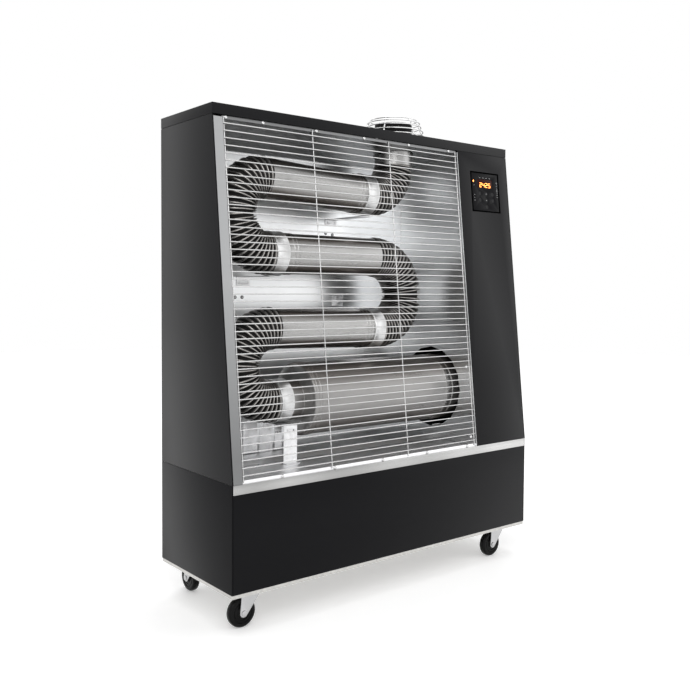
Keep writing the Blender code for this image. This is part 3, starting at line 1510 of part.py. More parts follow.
def make_mains_gland():
    """Cable gland in the base's back: hexagon, domed nut and thread with its bore."""
    y_face = from_front(BASE_D)
    centre = Vector((from_left(GLAND_X), y_face, above_base(GLAND_Z)))
    thread = GLAND_THREAD_D / 2
    bm = rod(
        bmesh.new(),
        centre - Vector((0, GLAND_THREAD_L, 0)),
        centre + Vector((0, FIT + GLAND_HEX_L / 2, 0)),
        2 * thread,
        HOLE_SIDES,
    )
    gland = new_object("mains_gland", bm, "tank_black")
    outside = bmesh.new()
    start = centre + Vector((0, FIT, 0))
    hexagon = GLAND_HEX_W / 2 / math.cos(math.pi / WIRE_SIDES)
    turned(outside, start, (0, 1, 0), [(0, hexagon), (GLAND_HEX_L, hexagon)], WIRE_SIDES)
    combine(gland, outside, "UNION")
    dome = bmesh.new()
    profile = [
        (GLAND_HEX_L / 2, GLAND_DOME_D / 2),
        (GLAND_HEX_L + GLAND_DOME_L / 2, GLAND_DOME_D / 2),
        (GLAND_HEX_L + GLAND_DOME_L, GLAND_BORE_D / 2 + (GLAND_DOME_D - GLAND_BORE_D) / 4),
    ]
    turned(dome, start, (0, 1, 0), profile, HOLE_SIDES)
    combine(gland, dome, "UNION")
    bore = bmesh.new()
    tail = centre - Vector((0, GLAND_THREAD_L + OVERRUN, 0))
    nose = start + Vector((0, GLAND_HEX_L + GLAND_DOME_L + OVERRUN, 0))
    rod(bore, tail, nose, GLAND_BORE_D, KEY_SIDES)
    return combine(gland, bore, "DIFFERENCE")


def panel_point(share_x, share_z, depth):
    """Point on the control panel, by shares of its width and height."""
    x = from_left(PANEL_LEFT + share_x * PANEL_W)
    z = above_base(PANEL_BOTTOM_Z + share_z * PANEL_H)
    return Vector((x, lean_y(z, depth), z))


def lean_normal():
    """Unit vector out of the leaning front."""
    return Vector((0, -math.cos(LEAN_ANGLE), math.sin(LEAN_ANGLE)))


def make_control_bezel():
    """Control panel: a face in the column's opening on a wider back plate."""
    x0 = from_left(PANEL_LEFT)
    x1 = from_left(PANEL_LEFT + PANEL_W)
    z0 = above_base(PANEL_BOTTOM_Z)
    z1 = above_base(PANEL_BOTTOM_Z + PANEL_H)
    seat = PANEL_WALL + FIT
    levels = ((0, PANEL_SET), (0, seat), (PANEL_LIP, seat), (PANEL_LIP, PANEL_T))
    sections = []
    for grow, depth in levels:
        corners = [
            (x0 - grow, z0 - grow),
            (x1 + grow, z0 - grow),
            (x1 + grow, z1 + grow),
            (x0 - grow, z1 + grow),
        ]
        sections.append([(x, lean_y(z, depth), z) for x, z in corners])
    bezel = new_object("control_bezel", loft(bmesh.new(), sections), "gloss_black")
    holes = bmesh.new()
    normal = lean_normal()
    for share_x, share_z in KEY_PLACE_SHARES:
        face = panel_point(share_x, share_z, PANEL_SET)
        rod(
            holes,
            face + normal * OVERRUN,
            face - normal * (PANEL_T + OVERRUN),
            KEY_D + 2 * FIT,
            KEY_SIDES,
        )
    combine(bezel, holes, "DIFFERENCE")
    window = bmesh.new()
    middle = panel_point(*DISPLAY_CENTRE_SHARE, 0)
    corners = []
    for sx, sz in ((-1, -1), (1, -1), (1, 1), (-1, 1)):
        corners.append((middle.x + sx * DISPLAY_W / 2, middle.z + sz * DISPLAY_H / 2))
    depths = (-OVERRUN, PANEL_SET + DISPLAY_DEPTH)
    loft(window, [[(x, lean_y(z, depth), z) for x, z in corners] for depth in depths])
    return combine(bezel, window, "DIFFERENCE")


def make_keys():
    """Seven round keys, each sliding in its own hole of the control panel."""
    normal = lean_normal()
    for number, (share_x, share_z) in enumerate(KEY_PLACE_SHARES, start=1):
        face = panel_point(share_x, share_z, PANEL_SET) + normal * KEY_PROUD
        bm = rod(bmesh.new(), face, face - normal * KEY_L, KEY_D, KEY_SIDES)
        key = new_object(f"key_{number}", bm, "key_grey")
        move_origin(key, face)


def make_control_board():
    """Closed box of the controller, fixed behind the control panel."""
    x0 = from_left(PANEL_LEFT) + BOARD_MARGIN
    x1 = from_left(PANEL_LEFT + PANEL_W) - BOARD_MARGIN
    z0 = above_base(PANEL_BOTTOM_Z) + BOARD_MARGIN
    z1 = above_base(PANEL_BOTTOM_Z + PANEL_H) - BOARD_MARGIN
    corners = [(x0, z0), (x1, z0), (x1, z1), (x0, z1)]
    start = PANEL_T + FIT + KEY_TRAVEL
    depths = (start, start + BOARD_DEPTH)
    bm = loft(bmesh.new(), [[(x, lean_y(z, depth), z) for x, z in corners] for depth in depths])
    return new_object("control_board", bm, "motor_grey")


# Casters


def caster_places():
    """X, Y and trail direction of each caster's kingpin."""
    x = BODY_W / 2 - CASTER_INSET_X
    front = from_front(CASTER_FRONT_Y)
    rear = from_front(BASE_D) - CASTER_REAR_INSET
    left_trail = Vector((-1, 0, 0))
    back_trail = Vector((0, 1, 0))
    return [
        (-x, front, left_trail),
        (x, front, left_trail),
        (-x, rear, back_trail),
        (x, rear, back_trail),
    ]


CASTER_NAMES = ("front_left", "front_right", "rear_left", "rear_right")


def fork_leg_outline():
    """Leg seen from the side: wide at the crown, round at the axle."""
    top = CASTER_H - PLATE_T - FIT - race_height()
    points = [(-CROWN_D / 2, top), (-CROWN_D / 2, top - CROWN_T)]
    start = math.radians(FORK_ARC_START_DEG)
    end = math.radians(FORK_ARC_END_DEG)
    for i in range(FORK_ARC_STEPS + 1):
        angle = start + (end - start) * i / FORK_ARC_STEPS
        u = CASTER_TRAIL + FORK_END_R * math.cos(angle)
        v = WHEEL_R + FORK_END_R * math.sin(angle)
        points.append((u, v))
    points += [(CROWN_D / 2 + FORK_END_R / 2, top - CROWN_T), (CROWN_D / 2 + FORK_END_R / 2, top)]
    return points


def race_height():
    """Height of the swivel race, between the plate and the fork's crown."""
    return CASTER_H - PLATE_T - FIT - WHEEL_D - CROWN_T - FORK_WALL


def make_fork(name, x, y, trail):
    """Swivelling fork: race, crown, two legs and the wheel's axle."""
    across = Vector((-trail.y, trail.x, 0))
    pin = Vector((x, y, 0))
    top = CASTER_H - PLATE_T - FIT
    crown = top - race_height()
    outline = [
        (0, RACE_RIM_D / 2),
        (race_height() / 2, RACE_D / 2),
        (race_height() + CROWN_T / 2, RACE_D / 2),
    ]
    start = pin + Vector((0, 0, top))
    race = turned(bmesh.new(), start, (0, 0, -1), outline, HOLE_SIDES)
    fork = new_object(name, race, "zinc")
    inner = WHEEL_W / 2 + FORK_SIDE_GAP
    outer = inner + FORK_WALL
    span = (CROWN_D / 2 + FORK_END_R / 2, -CROWN_D / 2)
    bridge = bmesh.new()
    corners = [
        pin + trail * span[0] + across * (inner + FORK_WALL / 2),
        pin + trail * span[0] - across * (inner + FORK_WALL / 2),
        pin + trail * span[1] - across * (inner + FORK_WALL / 2),
        pin + trail * span[1] + across * (inner + FORK_WALL / 2),
    ]
    levels = (crown, crown - CROWN_T)
    loft(bridge, [[Vector((p.x, p.y, z)) for p in corners] for z in levels])
    combine(fork, bridge, "UNION")
    legs = bmesh.new()
    for side in (-1, 1):
        sections = []
        for offset in (inner, outer):
            place = pin + across * (side * offset)
            sections.append([place + trail * u + Vector((0, 0, v)) for u, v in fork_leg_outline()])
        loft(legs, sections)
    combine(fork, legs, "UNION")
    hub = pin + trail * CASTER_TRAIL + Vector((0, 0, WHEEL_R))
    head = outer + AXLE_HEAD_T
    axle = [
        (-head, AXLE_HEAD_D / 2),
        (-inner, AXLE_HEAD_D / 2),
        (-inner, AXLE_D / 2),
        (inner, AXLE_D / 2),
        (inner, AXLE_HEAD_D / 2),
        (head, AXLE_HEAD_D / 2),
    ]
    combine(fork, turned(bmesh.new(), hub, across, axle, KEY_SIDES), "UNION")
    move_origin(fork, start)
    return fork


def make_wheel(name, x, y, trail):
    """Caster wheel with rounded tread edges, a dished side and an axle bore."""
    across = Vector((-trail.y, trail.x, 0))
    hub = Vector((x, y, WHEEL_R)) + trail * CASTER_TRAIL
    half = WHEEL_W / 2
    bore = AXLE_D / 2 + FIT
    side = [
        (half, bore),
        (half, WHEEL_HUB_D / 2),
        (half - WHEEL_DISH, (WHEEL_HUB_D + WHEEL_RIM_D) / 4),
        (half, WHEEL_RIM_D / 2),
        (half - WHEEL_EDGE, WHEEL_R),
    ]
    outline = side + [(-distance, radius) for distance, radius in reversed(side)]
    bm = turned(bmesh.new(), hub, across, outline, ROUND_SIDES, looped=True)
    wheel = new_object(name, bm, "caster_rubber")
    move_origin(wheel, hub)
    return wheel


def make_casters():
    """Four swivelling forks, each with its wheel."""
    for name, (x, y, trail) in zip(CASTER_NAMES, caster_places()):
        make_fork(f"caster_fork_{name}", x, y, trail)
        make_wheel(f"caster_wheel_{name}", x, y, trail)


def main():
    """Clear the scene and build every piece."""
    for obj in list(bpy.data.objects):
        bpy.data.objects.remove(obj, do_unlink=True)
    make_base_pan()
    make_base_front_panel()
    make_base_shell()
    make_base_deck()
    make_trim_strip()
    make_side_panel("side_panel_left", -1)
    make_side_panel("side_panel_right", 1)
    make_rear_panel()
    make_lid()
    make_control_column()
    make_reflector_left()
    make_reflector_right()
    make_reflector_back()
    make_reflector_top()
    make_reflector_floor()
    make_grille()
    make_tube_run()
    make_combustion_cylinder()
    make_cylinder_stand()
    make_brackets()
    make_flue_stub()
    make_flue_guard()
    make_burner_housing()
    make_blower_impeller()
    make_burner_motor()
    make_fuel_pump()
    make_ignition_transformer()
    make_fuel_tank()
    make_filler_cap()
    make_fuel_hose()
    make_mains_gland()
    make_control_bezel()
    make_keys()
    make_control_board()
    make_casters()


main()
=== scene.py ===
"""Visual dressing of a diesel infrared heater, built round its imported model.

Lengths are metres in the model's frame: +X right, +Y back, +Z up, ground at zero.
Each class is one sub-assembly: its fields are its sizes, and its methods model the
pieces, dress them in a finish and tie them to the bodies that carry them.
"""

import logging
import math
from collections.abc import Sequence
from dataclasses import dataclass
from enum import Enum

import bmesh
import bpy
from mathutils import Matrix, Vector


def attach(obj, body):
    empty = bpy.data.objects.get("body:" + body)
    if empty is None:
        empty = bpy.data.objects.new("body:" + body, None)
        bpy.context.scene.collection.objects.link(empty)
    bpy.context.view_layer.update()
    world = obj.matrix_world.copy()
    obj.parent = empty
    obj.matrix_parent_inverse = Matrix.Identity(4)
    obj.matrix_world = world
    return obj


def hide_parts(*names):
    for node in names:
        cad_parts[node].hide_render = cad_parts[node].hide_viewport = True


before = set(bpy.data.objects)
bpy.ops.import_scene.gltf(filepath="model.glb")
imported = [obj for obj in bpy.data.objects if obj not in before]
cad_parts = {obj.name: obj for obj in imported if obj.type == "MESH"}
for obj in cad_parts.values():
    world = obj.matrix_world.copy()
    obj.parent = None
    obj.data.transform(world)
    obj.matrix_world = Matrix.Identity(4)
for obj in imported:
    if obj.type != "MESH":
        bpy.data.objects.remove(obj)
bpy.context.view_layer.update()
LOG = logging.getLogger("heater")

Pair = tuple[float, float]
Triple = tuple[float, float, float]


# Shader graphs


class Value:
    """A shader socket that takes part in Python arithmetic."""

    def __init__(self, graph: "Graph", socket: bpy.types.NodeSocket) -> None:
        """Wrap a socket of a graph."""
        self.graph = graph
        self.socket = socket

    def _math(self, operation: str, first: "Term", second: "Term") -> "Value":
        """Add a Math node for one operation.

        Args:
            operation: the Math node's operation.
            first: its first value.
            second: its second value.

        Returns:
            The node's result.
        """
        return self.graph.node("ShaderNodeMath", {"operation": operation}, {0: first, 1: second})

    def __add__(self, other: "Term") -> "Value":
        """Sum."""
        return self._math("ADD", self, other)

    def __radd__(self, other: "Term") -> "Value":
        """Sum, reflected."""
        return self._math("ADD", other, self)

    def __sub__(self, other: "Term") -> "Value":
        """Difference."""
        return self._math("SUBTRACT", self, other)

    def __rsub__(self, other: "Term") -> "Value":
        """Difference, reflected."""
        return self._math("SUBTRACT", other, self)

    def __mul__(self, other: "Term") -> "Value":
        """Product."""
        return self._math("MULTIPLY", self, other)

    def __rmul__(self, other: "Term") -> "Value":
        """Product, reflected."""
        return self._math("MULTIPLY", other, self)


Term = Value | float | Sequence[float]


class Graph:
    """The node graph of one material."""

    def __init__(self, material: bpy.types.Material) -> None:
        """Start from a material's own Principled shader."""
        material.use_nodes = True
        self.tree = material.node_tree
        self.shader = self.tree.nodes["Principled BSDF"]

    def node(
        self,
        kind: str,
        settings: dict[str, object] | None = None,
        inputs: dict[str | int, Term] | None = None,
        output: str | int = 0,
    ) -> Value:
        """Add one node.

        Args:
            kind: the node's type.
            settings: its own settings; "stops" fills a colour ramp.
            inputs: values or links of its sockets.
            output: the socket to return.

        Returns:
            The chosen output.
        """
        made = self.tree.nodes.new(kind)
        for key, value in (settings or {}).items():
            if key == "stops":
                while len(made.color_ramp.elements) < len(value):
                    made.color_ramp.elements.new(1.0)
                for element, (position, colour) in zip(made.color_ramp.elements, value):
                    element.position = position
                    element.color = colour
            else:
                setattr(made, key, value)
        for key, value in (inputs or {}).items():
            if isinstance(value, Value):
                self.tree.links.new(value.socket, made.inputs[key])
            else:
                made.inputs[key].default_value = value
        return Value(self, made.outputs[output])

    def place(self, scale: Triple = (1.0, 1.0, 1.0), turn: Triple = (0.0, 0.0, 0.0)) -> Value:
        """Object coordinates, stretched and turned.

        Args:
            scale: factor along each axis.
            turn: Euler angles.

        Returns:
            The placed coordinates.
        """
        coords = self.node("ShaderNodeTexCoord", output="Object")
        return self.node(
            "ShaderNodeMapping", inputs={"Vector": coords, "Scale": scale, "Rotation": turn}
        )

    def noise(self, where: Value, scale: float, detail: float = 2.0) -> Value:
        """Cloudy noise from 0 to 1.

        Args:
            where: coordinates.
            scale: clouds to a metre.
            detail: octaves.

        Returns:
            The noise value.
        """
        return self.node(
            "ShaderNodeTexNoise", inputs={"Vector": where, "Scale": scale, "Detail": detail}
        )

    def spread(self, value: Value, low: float, high: float) -> Value:
        """Carry a 0 to 1 value over to another range.

        Args:
            value: what varies.
            low: result at 0.
            high: result at 1.

        Returns:
            The mapped value.
        """
        return value * (high - low) + low

    def blend(self, factor: Term, first: Term, second: Term) -> Value:
        """Mix two colours.

        Args:
            factor: share of the second.
            first: colour at 0.
            second: colour at 1.

        Returns:
            The mixed colour.
        """
        return self.node("ShaderNodeMix", {"data_type": "RGBA"}, {0: factor, 6: first, 7: second}, 2)

    def feed(self, name: str, value: Term) -> None:
        """Set or link one socket of the Principled shader."""
        if isinstance(value, Value):
            self.tree.links.new(value.socket, self.shader.inputs[name])
        else:
            self.shader.inputs[name].default_value = value

    def relief(self, height: Value, strength: float, distance: float) -> None:
        """Drive the shader's normal from a height.

        Args:
            height: the relief.
            strength: share of the full effect.
            distance: depth of the relief.
        """
        bump = self.node(
            "ShaderNodeBump", inputs={"Height": height, "Strength": strength, "Distance": distance}
        )
        self.feed("Normal", bump)


def opaque(colour: Triple, gain: float = 1.0) -> tuple[float, float, float, float]:
    """A colour with full alpha, made lighter or darker by a factor."""
    return (colour[0] * gain, colour[1] * gain, colour[2] * gain, 1.0)


# Finishes


@dataclass(frozen=True)
class Finish:
    """What every finish has: its name, the record's slot and its base values."""

    name: str
    slot: str
    colour: Triple
    metallic: float
    roughness: float
    specular: float = 0.5

    def material(self) -> bpy.types.Material:
        """The finish as a material, made once.

        Returns:
            The Blender material.
        """
        found = bpy.data.materials.get(self.name)
        if found is None:
            found = bpy.data.materials.new(self.name)
            graph = Graph(found)
            graph.feed("Metallic", self.metallic)
            graph.feed("Specular IOR Level", self.specular)
            self.paint(graph)
        return found

    def paint(self, graph: Graph) -> None:
        """Fill the graph; a finish of its own adds to this plain one."""
        cloud = graph.noise(graph.place(), 9.0)
        graph.feed("Base Color", graph.blend(cloud, opaque(self.colour, 0.88), opaque(self.colour, 1.1)))
        graph.feed("Roughness", graph.spread(cloud, self.roughness * 0.85, self.roughness * 1.15))


@dataclass(frozen=True)
class PowderCoat(Finish):
    """Satin powder coat: an even dark film with a fine orange-peel skin."""

    peel_scale: float = 620.0

    def paint(self, graph: Graph) -> None:
        """Dark film whose gloss drifts slowly, over a fine dimpled relief."""
        cloud = graph.noise(graph.place(), 3.2, 3.0)
        peel = graph.noise(graph.place(), self.peel_scale, 2.0)
        shade = graph.blend(cloud, opaque(self.colour, 0.82), opaque(self.colour, 1.2))
        graph.feed("Base Color", shade)
        graph.feed("Roughness", graph.spread(cloud, self.roughness * 0.9, self.roughness * 1.12))
        graph.relief(peel, 0.06, 0.0002)


@dataclass(frozen=True)
class Brushed(Finish):
    """Metal with a grain: fine scratches along one direction; it may also carry a cloudy heat tint and painted shade
    on its upper and lower flanks.
    """

    grain: Triple = (3.0, 900.0, 900.0)
    depth: float = 0.05
    tint_and_shade: Triple = (0.42, 0.37, 0.33)
    tint_share: float = 0.0
    flank_shade_share: float = 0.0
    flank_shade_ramp: Pair = (0.06, 0.5)
    drift: float = 0.0

    def paint(self, graph: Graph) -> None:
        """Streaks in gloss, colour and relief, a cloudy tint where it is heated, and painted shade on the upper and
        lower flanks.
        """
        streak = graph.noise(graph.place(self.grain), 1.0, 3.0)
        cloud = graph.noise(graph.place(), 7.0, 2.0)
        steel = graph.blend(streak, opaque(self.colour, 0.90), opaque(self.colour, 1.08))
        if self.drift > 0:
            swell = graph.noise(graph.place((3.4, 0.4, 0.4)), 1.0, 1.0)
            ramp = graph.node(
                "ShaderNodeMapRange", inputs={"Value": swell, "From Min": 0.32, "From Max": 0.68}
            )
            dark = opaque(self.colour, 1.0 - self.drift)
            steel = graph.blend(ramp, dark, steel)
        # The dark colour is partly a cloudy heat tint and partly painted shade on the flanks.
        graph.feed("Base Color", graph.blend(self.tint_and_flank_shade(graph, cloud), steel, opaque(self.tint_and_shade)))
        graph.feed("Roughness", graph.spread(streak, self.roughness * 0.8, self.roughness * 1.25))
        graph.relief(streak, self.depth, 0.0002)

    def tint_and_flank_shade(self, graph: Graph, cloud: Value) -> Value:
        """Share of the dark colour: a cloudy heat tint, plus painted shade that deepens towards the upper and lower
        flanks.

        Args:
            graph: the material's graph.
            cloud: slow noise.

        Returns:
            The share from 0 to 1.
        """
        normal = graph.node("ShaderNodeTexCoord", output="Normal")
        rise = graph.node("ShaderNodeSeparateXYZ", inputs={0: normal}, output="Z")
        low, high = self.flank_shade_ramp
        # Painted shade: darker where the surface faces up or down.
        flank = graph.node(
            "ShaderNodeMapRange",
            {"interpolation_type": "SMOOTHSTEP"},
            {"Value": rise * rise, "From Min": low, "From Max": high},
        )
        return flank * self.flank_shade_share * (1.0 - cloud * 0.2) + cloud * self.tint_share * 0.3


@dataclass(frozen=True)
class RolledSheet(Finish):
    """Bright rolled sheet: a mirror with slow waves and faint rolling lines."""

    foot_shade_share: float = 1.0

    def paint(self, graph: Graph) -> None:
        """Slow waves bend the reflection; rolling lines vary its gloss; its foot may be painted darker as shade."""
        wave = graph.noise(graph.place((6.0, 6.0, 2.5)), 1.0, 1.0)
        line = graph.noise(graph.place((1.2, 160.0, 160.0)), 1.0, 2.0)
        sheet = graph.blend(line, opaque(self.colour, 0.96), opaque(self.colour))
        # Painted shade: the colour darkens towards the bottom.
        if self.foot_shade_share < 1:
            place = graph.node("ShaderNodeTexCoord", output="Object")
            height = graph.node("ShaderNodeSeparateXYZ", inputs={0: place}, output="Z")
            rise = graph.node(
                "ShaderNodeMapRange", inputs={"Value": height, "From Min": 0.42, "From Max": 0.85}
            )
            sheet = graph.blend(rise, opaque(self.colour, self.foot_shade_share), sheet)
        graph.feed("Base Color", sheet)
        graph.feed("Roughness", graph.spread(line, self.roughness * 0.94, self.roughness * 1.06))
        graph.relief(wave, 0.10, 0.002)


@dataclass(frozen=True)
class Spangled(Finish):
    """Galvanised sheet with its faint crystal pattern."""

    def paint(self, graph: Graph) -> None:
        """Crystals differ a little in shade and gloss."""
        crystal = graph.node(
            "ShaderNodeTexVoronoi", inputs={"Vector": graph.place(), "Scale": 110.0}, output="Color"
        )
        value = graph.node("ShaderNodeRGBToBW", inputs={0: crystal})
        graph.feed("Base Color", graph.blend(value, opaque(self.colour, 0.9), opaque(self.colour, 1.1)))
        graph.feed("Roughness", graph.spread(value, self.roughness * 0.85, self.roughness * 1.2))


@dataclass(frozen=True)
class Pleated(Finish):
    """Pleated pipe: bright crests over folds painted near-black as shade, told apart by the pleat attribute."""

    fold_shade_colour: Triple = (0.012, 0.011, 0.010)

    def paint(self, graph: Graph) -> None:
        """Steel on the crests, painted shade in the folds."""
        fold = graph.node("ShaderNodeAttribute", {"attribute_name": "pleat"}, output="Fac")
        cloud = graph.noise(graph.place(), 30.0, 2.0)
        steel = graph.blend(cloud, opaque(self.colour, 0.8), opaque(self.colour, 1.2))
        # Painted shade: the folds turn near-black and less metallic.
        graph.feed("Base Color", graph.blend(fold, steel, opaque(self.fold_shade_colour)))
        graph.feed("Roughness", graph.spread(fold, self.roughness, 0.7))
        graph.feed("Metallic", 1.0 - fold * 0.7)


@dataclass(frozen=True)
class Lamp(Finish):
    """A lit mark of the display."""

    strength: float = 2.5

    def paint(self, graph: Graph) -> None:
        """Glow of one colour over a dark body, a little uneven."""
        cloud = graph.noise(graph.place(), 400.0)
        glow = graph.blend(cloud, opaque(self.colour, 0.9), opaque(self.colour, 1.1))
        graph.feed("Base Color", opaque(self.colour, 0.3))
        graph.feed("Roughness", self.roughness)
        graph.feed("Emission Color", glow)
        graph.feed("Emission Strength", self.strength)


class Stock(Enum):
    """Every finish of the heater."""

    POWDER = PowderCoat("satin powder coat", "black_powder_coat", (0.008, 0.008, 0.009), 0.0, 0.34, 0.13)
    # A darker copy of the satin powder coat for the base's panels: painted shade.
    SHADED_BASE_COAT = PowderCoat("base powder coat with painted shade", "black_powder_coat", (0.005, 0.005, 0.006), 0.0, 0.32, 0.09)
    GALVANISED = Spangled("galvanised sheet", "galvanised", (0.56, 0.55, 0.53), 0.95, 0.34)
    STAND = Spangled("bright stand plate", "galvanised", (0.86, 0.86, 0.87), 0.9, 0.40)
    TRIM = Brushed("brushed trim", "brushed_steel", (0.58, 0.578, 0.572), 1.0, 0.28, drift=0.45)
    REFLECTOR = RolledSheet("bright rolled sheet", "polished_reflector", (0.90, 0.91, 0.92), 1.0, 0.30)
    # The front flange is painted darker towards its foot: painted shade.
    FLANGE = RolledSheet(
        "front flange sheet", "polished_reflector", (0.42, 0.425, 0.43), 1.0, 0.30, foot_shade_share=0.5
    )
    # A darker copy of the bright rolled sheet for the chamber's ceiling: painted shade.
    SHADED_CEILING = RolledSheet("ceiling sheet with painted shade", "polished_reflector", (0.22, 0.222, 0.225), 1.0, 0.36)
    FLOOR_SHEET = RolledSheet("chamber floor sheet", "polished_reflector", (0.94, 0.94, 0.95), 1.0, 0.44)
    WIRE = Finish("bright wire", "chrome_wire", (0.62, 0.62, 0.62), 1.0, 0.18)
    GUARD = Finish("guard wire", "chrome_wire", (0.88, 0.88, 0.88), 1.0, 0.22)
    # A darker copy of the zinc plate for the caster forks: painted shade.
    SHADED_FORK = Finish("fork zinc with painted shade", "zinc", (0.50, 0.50, 0.505), 1.0, 0.20)
    # Tube and cylinder: painted shade darkens their upper and lower flanks; the cloudy part of the tint is heat
    # tint.
    TUBE = Brushed(
        "brushed tube",
        "tinted_steel",
        (0.43, 0.428, 0.422),
        0.9,
        0.27,
        grain=(3.0, 70.0, 70.0),
        depth=0.006,
        tint_and_shade=(0.140, 0.124, 0.112),
        tint_share=0.5,
        flank_shade_share=0.95,
    )
    CYLINDER = Brushed(
        "brushed cylinder",
        "tinted_steel",
        (0.335, 0.330, 0.324),
        0.75,
        0.29,
        grain=(3.0, 45.0, 45.0),
        depth=0.006,
        tint_and_shade=(0.165, 0.149, 0.137),
        tint_share=0.5,
        flank_shade_share=0.95,
        flank_shade_ramp=(0.0, 0.5),
    )
    # Plain black for the flue stub above the lid.
    BLACK_OUTLET = Finish("black outlet", "tinted_steel", (0.006, 0.006, 0.006), 0.0, 0.5, 0.08)
    PLEATS = Pleated("pleated pipe", "pleated_steel", (0.40, 0.385, 0.37), 1.0, 0.24)
    COLLAR = Brushed(
        "bright collar", "collar_steel", (0.72, 0.72, 0.72), 1.0, 0.32, grain=(500.0, 8.0, 8.0), depth=0.0
    )
    ZINC = Finish("zinc plate", "zinc", (0.66, 0.66, 0.66), 1.0, 0.26)
    CAST = Finish("cast metal", "cast_aluminium", (0.55, 0.55, 0.55), 0.9, 0.5)
    MOTOR = Finish("motor paint", "motor_grey", (0.10, 0.11, 0.12), 0.0, 0.45)
    MOULDED = Finish("moulded plastic", "tank_black", (0.028, 0.028, 0.028), 0.0, 0.5)
    PANEL = Finish("panel gloss", "gloss_black", (0.004, 0.004, 0.005), 0.0, 0.16, 0.06)
    SCREEN = Finish("display window", "gloss_black", (0.030, 0.004, 0.003), 0.0, 0.12, 0.06)
    KEY = Finish("key plastic", "key_grey", (0.012, 0.012, 0.013), 0.0, 0.30, 0.12)
    PRINT = Finish("printed mark", "key_grey", (0.50, 0.50, 0.50), 0.0, 0.5)
    # Near-black fill standing in for the shade inside gaps and slots: painted shade.
    PAINTED_SHADE_BLACK = Finish("painted shade black", "gloss_black", (0.001, 0.001, 0.001), 0.0, 0.7, 0.0)
    TYRE = Finish("hard rubber", "caster_black", (0.004, 0.004, 0.004), 0.0, 0.16, 0.12)
    HOSE = Finish("hose rubber", "hose_rubber", (0.020, 0.020, 0.020), 0.0, 0.55)
    GLOW = Lamp("lit digit", "gloss_black", (1.0, 0.30, 0.06), 0.0, 0.4, strength=6.0)


# Layout and mesh tools


@dataclass(frozen=True)
class Layout:
    """Reference planes of the cabinet."""

    width: float = 1.060
    front: float = -0.19375
    back: float = 0.17025
    base_z: float = 0.102
    seam_z: float = 0.3642
    lid_z: float = 1.247
    top_z: float = 1.2734
    setback: float = 0.0951
    pipe_y: float = 0.00225

    @property
    def slope(self) -> float:
        """Setback of the leaning front for each unit of height."""
        return self.setback / (self.lid_z - self.seam_z)

    def x(self, from_left: float) -> float:
        """X of a place measured from the left face."""
        return from_left - self.width / 2

    def z(self, above_base: float) -> float:
        """Z of a place measured from the base panels' lower edge."""
        return self.base_z + above_base

    def lean(self, z: float, depth: float = 0.0) -> float:
        """Y on the leaning front at height z, depth behind its plane."""
        return self.front + (z - self.seam_z) * self.slope + depth

    def on_front(self, from_left: float, above_base: float, depth: float = 0.0) -> Vector:
        """Point on the leaning front."""
        z = self.z(above_base)
        return Vector((self.x(from_left), self.lean(z, depth), z))

    def on_run(self, from_left: float, above_base: float) -> Vector:
        """Point in the upright plane of the tube run."""
        return Vector((self.x(from_left), self.pipe_y, self.z(above_base)))

    def front_frame(self, origin: Vector) -> Matrix:
        """Frame on the leaning front: X to the right, Y up the slope, Z outwards."""
        angle = math.atan(self.slope)
        right = Vector((1, 0, 0))
        up = Vector((0, math.sin(angle), math.cos(angle)))
        out = right.cross(up)
        return Matrix.Translation(origin) @ Matrix((right, up, out)).transposed().to_4x4()


LAYOUT = Layout()


def facing(origin: Vector, direction: Vector) -> Matrix:
    """Frame whose Z axis points along a direction.

    Args:
        origin: the frame's origin.
        direction: where Z points.

    Returns:
        The frame as a matrix.
    """
    turn = Vector((0, 0, 1)).rotation_difference(direction.normalized())
    return Matrix.Translation(origin) @ turn.to_matrix().to_4x4()


class Path:
    """A smooth path measured by its length, with straight ends."""

    def __init__(self, points: Sequence[Vector]) -> None:
        """Measure a finely sampled path."""
        self.points = list(points)
        self.marks = [0.0]
        for before, here in zip(self.points, self.points[1:]):
            self.marks.append(self.marks[-1] + (here - before).length)
        self.length = self.marks[-1]

    @classmethod
    def curved(cls, ends: Sequence[Vector], ways: Sequence[Vector], handle: float) -> "Path":
        """Cubic curve between two points that leaves and arrives along given ways.

        Args:
            ends: start and end point.
            ways: unit directions there.
            handle: length of both handles.

        Returns:
            The path.
        """
        p0, p3 = ends
        p1 = p0 + ways[0] * handle
        p2 = p3 - ways[1] * handle
        samples = 240
        points = []
        for i in range(samples + 1):
            t = i / samples
            s = 1 - t
            points.append(p0 * s**3 + p1 * (3 * s * s * t) + p2 * (3 * s * t * t) + p3 * t**3)
        return cls(points)

    def at(self, distance: float) -> tuple[Vector, Vector]:
        """Point and unit tangent at a distance, straight on beyond both ends.

        Args:
            distance: length along the path from its start.

        Returns:
            The point and the tangent.
        """
        reach = min(max(distance, 0.0), self.length)
        low = 0
        high = len(self.marks) - 1
        while high - low > 1:
            middle = (low + high) // 2
            if self.marks[middle] <= reach:
                low = middle
            else:
                high = middle
        share = (reach - self.marks[low]) / (self.marks[high] - self.marks[low])
        before = self.points[max(low - 1, 0)]
        after = self.points[min(high + 1, len(self.points) - 1)]
        tangent = (after - before).normalized()
        point = self.points[low].lerp(self.points[high], share)
        return point + tangent * (distance - reach), tangent


